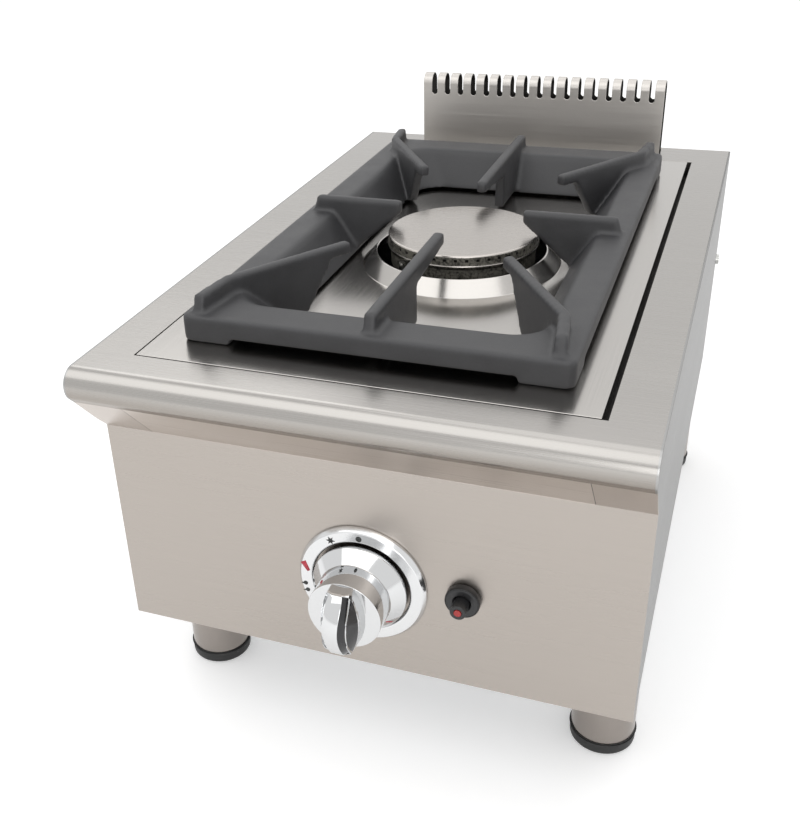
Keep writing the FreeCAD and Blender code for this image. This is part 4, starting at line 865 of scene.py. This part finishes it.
@dataclass
class Dial:
    """Chromed bezel with its marks and the knob with its index."""

    finishes: Finishes
    bezel_edge: float = 0.5 * MM
    edge_segments: int = 3
    mark_height: float = 0.12 * MM
    off_dot: Spot = Spot(1.7 * MM, 31.4 * MM, 90.0, 28)
    spark: Spot = Spot(2.7 * MM, 31.6 * MM, 121.0, 12)
    spark_waist: float = 0.42
    flames: tuple[Spot, ...] = (Spot(1.3 * MM, 33.0 * MM, 189.0, 16), Spot(1.3 * MM, 33.0 * MM, 197.0, 16))
    flame_tip: float = 1.6 * MM
    wedge_start: Pair = (34.7 * MM, 164.0)
    wedge_end: Pair = (30.5 * MM, 173.0)
    wedge_width: float = 3.4 * MM
    wedge_taper: float = 0.55
    index_degrees: float = -40.0
    index_distance: float = 23.75 * MM
    index_back: float = 5.0 * MM
    index_size: Triple = (4.6 * MM, 0.9 * MM, 0.3 * MM)
    index_edge: float = 0.1 * MM
    cone_run: float = 6.5
    cone_depth: float = 7.0
    knob_steps: int = 96
    knob_edge: float = 0.35 * MM
    knob_angle: float = 18.0
    skirt_drop: float = 0.9 * MM
    skirt_edge: float = 1.5 * MM
    drum_radius: float = 20.5 * MM
    drum_height: float = 16.5 * MM
    bar_height: float = 18.0 * MM
    bar_overlap: float = 0.05 * MM
    crest_facet: float = 3.2 * MM
    crest_angle: float = 40.0
    crest_depth: float = 10.6 * MM
    crest_start: float = 4.0 * MM
    sliver: float = 0.03 * MM
    inlay_depth: float = 13.0 * MM
    inlay_rim: float = 0.45 * MM
    inlay_sink: float = 0.1 * MM
    inlay_lobes: tuple[Pair, ...] = ((0.35, 0.85), (0.85, 1.01))

    def raise_marks(self, name: str, bm: bmesh.types.BMesh, material: bpy.types.Material) -> None:
        """Raise flat marks and stand them on the bezel's face.

        Args:
            name: name of the piece that they make.
            bm: the marks, drawn flat about the origin.
            material: their paint.
        """
        grown = bmesh.ops.extrude_face_region(bm, geom=bm.faces[:])["geom"]
        lifted = [part for part in grown if isinstance(part, bmesh.types.BMVert)]
        bmesh.ops.translate(bm, verts=lifted, vec=(0.0, 0.0, 2 * self.mark_height))
        bmesh.ops.recalc_face_normals(bm, faces=bm.faces)
        low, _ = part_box("dial_bezel")
        axis = middle("dial_bezel")
        stand = Matrix.Translation((axis.x, low[1] + self.mark_height, axis.z))
        bmesh.ops.transform(bm, matrix=stand @ Matrix.Rotation(math.pi / 2, 4, "X"), verts=bm.verts)
        make_piece(name, bm, Body.CHASSIS, [material], (), weighted=False)

    def black_marks(self) -> None:
        """Draw the off dot, the spark star and the flames."""
        bm = bmesh.new()
        self.off_dot.draw(bm)
        star = self.spark.draw(bm)
        hub = sum((vert.co for vert in star), Vector()) / len(star)
        for vert in star[::2]:
            vert.co = hub.lerp(vert.co, self.spark_waist)
        for flame in self.flames:
            drop = flame.draw(bm, flame.degrees - 90.0)
            drop[0].co += polar(self.flame_tip, flame.degrees)
        self.raise_marks("dial_black_marks", bm, self.finishes.black_paint)

    def red_mark(self) -> None:
        """Draw the red wedge."""
        bm = bmesh.new()
        wedge = bmesh.ops.create_grid(bm, x_segments=1, y_segments=1, size=0.5)["verts"]
        for vert in wedge:
            vert.co.y *= self.wedge_taper if vert.co.x > 0 else 1.0
        start, end = polar(*self.wedge_start), polar(*self.wedge_end)
        run = end - start
        shape = Matrix.LocRotScale((start + end) / 2, run.to_track_quat("X", "Z"), (run.length, self.wedge_width, 1.0))
        bmesh.ops.transform(bm, matrix=shape, verts=wedge)
        self.raise_marks("dial_red_mark", bm, self.finishes.red_paint)

    def index(self) -> None:
        """Lay the red index on the knob's conical skirt."""
        _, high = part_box("knob")
        axis = middle("knob")
        angle = math.radians(self.index_degrees)
        out = Vector((math.cos(angle), 0.0, math.sin(angle)))
        along = (out * self.cone_run + Vector((0.0, self.cone_depth, 0.0))).normalized()
        across = Vector((-math.sin(angle), 0.0, math.cos(angle)))
        seat = Vector((axis.x, high[1] - self.index_back, axis.z)) + out * self.index_distance
        turn = Matrix((along, across, along.cross(across))).transposed().to_4x4()
        bm = bmesh.new()
        bmesh.ops.create_cube(bm, size=1.0, matrix=Matrix.Diagonal((*self.index_size, 1.0)))
        round_edges(bm, self.index_edge)
        bmesh.ops.transform(bm, matrix=Matrix.Translation(seat) @ turn, verts=bm.verts)
        make_piece("knob_index", bm, Body.CONTROL, [self.finishes.red_paint], ())

    def grip(self) -> bmesh.types.BMesh:
        """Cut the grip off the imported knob, facet its crest and lay the dark inlay in its index side.

        Returns:
            The grip's mesh, whose second finish is the inlay's.
        """
        low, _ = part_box("knob")
        axis = middle("knob")
        backward = (0.0, 1.0, 0.0)
        bm = packed("knob")
        cut(bm, (0.0, low[1] + self.bar_height - self.bar_overlap, 0.0), backward, clear=True)
        flattened(bm)
        crest = [edge for edge in bm.edges
                 if edge.is_manifold and edge.calc_face_angle(0.0) > math.radians(self.crest_angle)
                 and max(vert.co.y for vert in edge.verts) < low[1] + self.crest_depth
                 and all(abs(vert.co.x - axis.x) > self.crest_start for vert in edge.verts)]
        bmesh.ops.bevel(bm, geom=crest, offset=self.crest_facet, affect="EDGES", segments=1, profile=0.5, material=-1)
        cut(bm, (0.0, low[1] + self.inlay_depth, 0.0), backward)
        bmesh.ops.dissolve_degenerate(bm, dist=self.sliver, edges=bm.edges)
        for least, most in self.inlay_lobes:
            lobe = [face for face in bm.faces if least < face.normal.x <= most
                    and face.calc_center_median().y < low[1] + self.inlay_depth]
            for face in lobe:
                face.material_index = 1
            rim = bmesh.ops.inset_region(bm, faces=lobe, thickness=self.inlay_rim, depth=-self.inlay_sink,
                                         use_boundary=True)["faces"]
            for face in rim:
                face.material_index = 0
        return bm

    def knob(self) -> None:
        """Turn the knob's skirt and drum and stand the grip on the drum."""
        low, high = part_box("knob")
        radius = (high[0] - low[0]) / 2
        axis = middle("knob")
        front = low[1] + self.bar_height
        back = high[1] + self.skirt_drop
        outline = [(0.0, back), (radius, back), (radius, high[1] - self.skirt_edge),
                   (self.drum_radius, front + self.drum_height), (self.drum_radius, front), (0.0, front)]
        section = [(axis.x + out, along, axis.z) for out, along in outline]
        bm = turned(section, axis, (0.0, 1.0, 0.0), self.knob_steps)
        round_edges(bm, self.knob_edge, self.edge_segments, self.knob_angle)
        make_piece("knob_body", bm, Body.CONTROL, [self.finishes.chrome], ("knob",))
        make_piece("knob_grip", self.grip(), Body.CONTROL, [self.finishes.chrome, self.finishes.inlay], ("knob",))

    def build(self) -> None:
        """Make the bezel, the knob and the marks, and dress the valve's stem."""
        bezel = flattened(packed("dial_bezel"))
        round_edges(bezel, self.bezel_edge, self.edge_segments)
        make_piece("dial_bezel_ring", bezel, Body.CHASSIS, [self.finishes.bezel], ("dial_bezel",))
        self.knob()
        self.black_marks()
        self.red_mark()
        self.index()
        dress(self.finishes.plated, "valve_stem", "valve_push_rod")


@dataclass
class Igniter:
    """Push button of the spark igniter in its collar."""

    finishes: Finishes
    collar_edge: float = 1.0 * MM
    button_edge: float = 0.5 * MM
    edge_segments: int = 3
    edge_angle: float = 40.0
    barrel_share: float = 0.45
    barrel_scale: float = 0.97

    def build(self) -> None:
        """Round the collar and the button, slim the button's barrel and dress the rest."""
        collar = flattened(packed("igniter_body"))
        round_edges(collar, self.collar_edge, self.edge_segments, self.edge_angle)
        make_piece("igniter_collar", collar, Body.CHASSIS, [self.finishes.black], ("igniter_body",))
        low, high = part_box("igniter_button")
        axis = middle("igniter_button")
        least = self.barrel_share * (high[0] - low[0])
        button = flattened(packed("igniter_button"))
        barrel = [vert for vert in button.verts if math.hypot(vert.co.x - axis.x, vert.co.z - axis.z) > least]
        bmesh.ops.scale(button, vec=(self.barrel_scale, 1.0, self.barrel_scale), space=Matrix.Translation(-axis),
                        verts=barrel)
        round_edges(button, self.button_edge, self.edge_segments, self.edge_angle)
        make_piece("igniter_cap", button, Body.BUTTON, [self.finishes.black], ("igniter_button",))
        dress(self.finishes.red, "button_insert")
        dress(self.finishes.black, "igniter_nut")
        dress(self.finishes.sleeve, "igniter_lead")


@dataclass
class GasTrain:
    """Valve, pipes and the threaded inlet at the back."""

    finishes: Finishes
    thread_radius: float = 10.3 * MM
    pitch: float = 1.8 * MM
    turns: int = 7
    steps: int = 24
    run_out: float = 0.8
    tooth_height: float = 0.55 * MM
    tooth_half: float = 0.45

    def thread(self) -> None:
        """Wind the inlet's thread round its outer end."""
        _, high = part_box("gas_inlet")
        axis = middle("gas_inlet")
        half = self.tooth_half * self.pitch
        start = high[1] - (self.turns + self.run_out) * self.pitch
        bm = bmesh.new()
        tooth = [bm.verts.new((self.thread_radius + out, along, 0.0))
                 for out, along in ((0.0, -half), (self.tooth_height, 0.0), (0.0, half))]
        edges = [bm.edges.new(pair) for pair in zip(tooth, tooth[1:])]
        bmesh.ops.spin(bm, geom=tooth + edges, cent=(0, 0, 0), axis=(0, -1, 0), angle=math.tau * self.turns,
                       steps=self.steps * self.turns, dvec=(0.0, self.pitch / self.steps, 0.0))
        bmesh.ops.recalc_face_normals(bm, faces=bm.faces)
        bmesh.ops.translate(bm, verts=bm.verts, vec=(axis.x, start, axis.z))
        make_piece("gas_inlet_thread", bm, Body.CHASSIS, [self.finishes.brass], (), weighted=False)

    def build(self) -> None:
        """Make the thread and dress the fittings and pipes."""
        self.thread()
        dress(self.finishes.brass, "valve_body", "gas_inlet")
        dress(self.finishes.tube, "feed_pipe", "supply_pipe")
        dress(self.finishes.plated, "inlet_locknut")
        dress(self.finishes.sleeve, "thermocouple_lead")


@dataclass(frozen=True)
class Lamp:
    """Soft rectangular light that faces a point, with its power in watts."""

    name: str
    place: Triple
    target: Triple
    size: Pair
    power: float

    def hang(self) -> None:
        """Hang the light in the scene."""
        data = bpy.data.lights.new(self.name, "AREA")
        data.shape = "RECTANGLE"
        data.size, data.size_y = self.size
        data.energy = self.power
        item = bpy.data.objects.new(self.name, data)
        item.location = self.place
        item.rotation_mode = "QUATERNION"
        item.rotation_quaternion = (Vector(self.target) - Vector(self.place)).to_track_quat("-Z", "Y")
        bpy.context.scene.collection.objects.link(item)


@dataclass
class Studio:
    """Camera, floor and soft lights."""

    eye: Vector = field(default_factory=lambda: Vector((170.1, -437.9, 367.7)) * MM)
    yaw: float = math.radians(21.9)
    pitch: float = math.radians(28.94)
    roll: float = math.radians(-2.65)
    focal_pixels: float = 1073.2
    image_height: float = 821.0
    sideways_pixels: float = 55.0
    sensor: float = 36.0
    floor_radius: float = 6.0
    floor_sides: int = 96
    floor_tone: float = 0.92
    floor_roughness: float = 0.9
    near_glow: float = 0.3
    far_glow: float = 0.39
    glow_reach: Pair = (0.5, 1.5)
    even_light: float = 0.66
    lamps: tuple[Lamp, ...] = (
        Lamp("key", (0.2, 0.8, 1.7), (0.0, 0.0, 0.15), (1.4, 1.4), 4.0),
        Lamp("overhead", (-0.25, -0.6, 1.45), (-0.25, -0.3, 0.25), (2.4, 1.2), 9.0),
        Lamp("rear", (-1.04, 1.25, 1.6), (-0.1, -0.2, 0.25), (0.9, 0.7), 2.8),
        Lamp("fill", (0.5, -1.7, 0.7), (0.0, 0.0, 0.2), (0.9, 0.9), 6.0))

    def camera(self) -> None:
        """Set the camera at the photograph's place, measured from the dial on the panel."""
        _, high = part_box("dial_bezel")
        dial = middle("dial_bezel")
        forward = Vector((-math.sin(self.yaw) * math.cos(self.pitch), math.cos(self.yaw) * math.cos(self.pitch),
                          -math.sin(self.pitch)))
        level = Vector((math.cos(self.yaw), math.sin(self.yaw), 0.0))
        right = math.cos(self.roll) * level + math.sin(self.roll) * level.cross(forward)
        data = bpy.data.cameras.new("camera")
        data.sensor_width = self.sensor
        data.lens = self.focal_pixels / self.image_height * self.sensor
        data.shift_x = self.sideways_pixels / self.image_height
        item = bpy.data.objects.new("camera", data)
        item.matrix_world = Matrix((right, right.cross(forward), -forward)).transposed().to_4x4()
        item.location = Vector((dial.x, high[1], dial.z)) + self.eye
        bpy.context.scene.collection.objects.link(item)
        bpy.context.scene.camera = item

    def pale_floor(self) -> bpy.types.Material:
        """Make the floor's finish, which glows a little less near the range to keep the shadow.

        Returns:
            The material.
        """
        graph = Graph("pale_floor")
        graph.fix(Base_Color=(*[self.floor_tone] * 3, 1.0), Roughness=self.floor_roughness, Specular_IOR_Level=0.0,
                  Emission_Color=WHITE)
        path = graph.add("ShaderNodeLightPath")
        seen = graph.add("ShaderNodeMath", operation="MAXIMUM")
        graph.link(path, "Is Camera Ray", seen, 0)
        graph.link(path, "Is Glossy Ray", seen, 1)
        reach = graph.add("ShaderNodeVectorMath", operation="LENGTH")
        graph.link(graph.add("ShaderNodeTexCoord"), "Object", reach, 0)
        near, far = self.glow_reach
        glow = graph.add("ShaderNodeMapRange", From_Min=near, From_Max=far, To_Min=self.near_glow,
                         To_Max=self.far_glow)
        graph.link(reach, "Value", glow, "Value")
        graph.link(graph.combine("MULTIPLY", seen, glow), 0, graph.shader, "Emission Strength")
        return graph.material

    def floor(self) -> None:
        """Lay a pale floor that keeps the shadow."""
        mesh = bpy.data.meshes.new("floor")
        bm = bmesh.new()
        bmesh.ops.create_circle(bm, cap_ends=True, segments=self.floor_sides, radius=self.floor_radius)
        bm.to_mesh(mesh)
        bm.free()
        mesh.materials.append(self.pale_floor())
        item = bpy.data.objects.new("floor", mesh)
        bpy.context.scene.collection.objects.link(item)

    def world(self) -> None:
        """Surround the scene with a white backdrop and even light."""
        world = bpy.data.worlds.new("backdrop")
        world.use_nodes = True
        tree = world.node_tree
        tree.nodes.clear()
        output = tree.nodes.new("ShaderNodeOutputWorld")
        shader = tree.nodes.new("ShaderNodeBackground")
        shader.inputs["Color"].default_value = WHITE
        path = tree.nodes.new("ShaderNodeLightPath")
        seen = path.outputs["Is Camera Ray"]
        for ray in ("Is Glossy Ray", "Is Transmission Ray"):
            either = tree.nodes.new("ShaderNodeMath")
            either.operation = "MAXIMUM"
            tree.links.new(seen, either.inputs[0])
            tree.links.new(path.outputs[ray], either.inputs[1])
            seen = either.outputs[0]
        strength = tree.nodes.new("ShaderNodeMapRange")
        strength.inputs["To Min"].default_value = self.even_light
        strength.inputs["To Max"].default_value = 1.0
        tree.links.new(seen, strength.inputs["Value"])
        tree.links.new(strength.outputs["Result"], shader.inputs["Strength"])
        tree.links.new(shader.outputs[0], output.inputs[0])
        bpy.context.scene.world = world

    def build(self) -> None:
        """Set up everything that isn't the object."""
        self.camera()
        self.floor()
        self.world()
        for lamp in self.lamps:
            lamp.hang()
        bpy.context.scene.view_settings.view_transform = "Standard"


def main() -> None:
    """Build the range's looks in order."""
    logging.basicConfig(level=logging.INFO, format="%(message)s")
    finishes = Finishes()
    for part in (Casing, Flue, SpillTray, PanSupport, Burner, Dial, Igniter, GasTrain):
        part(finishes).build()
    Studio().build()


if __name__ == "__main__":
    main()
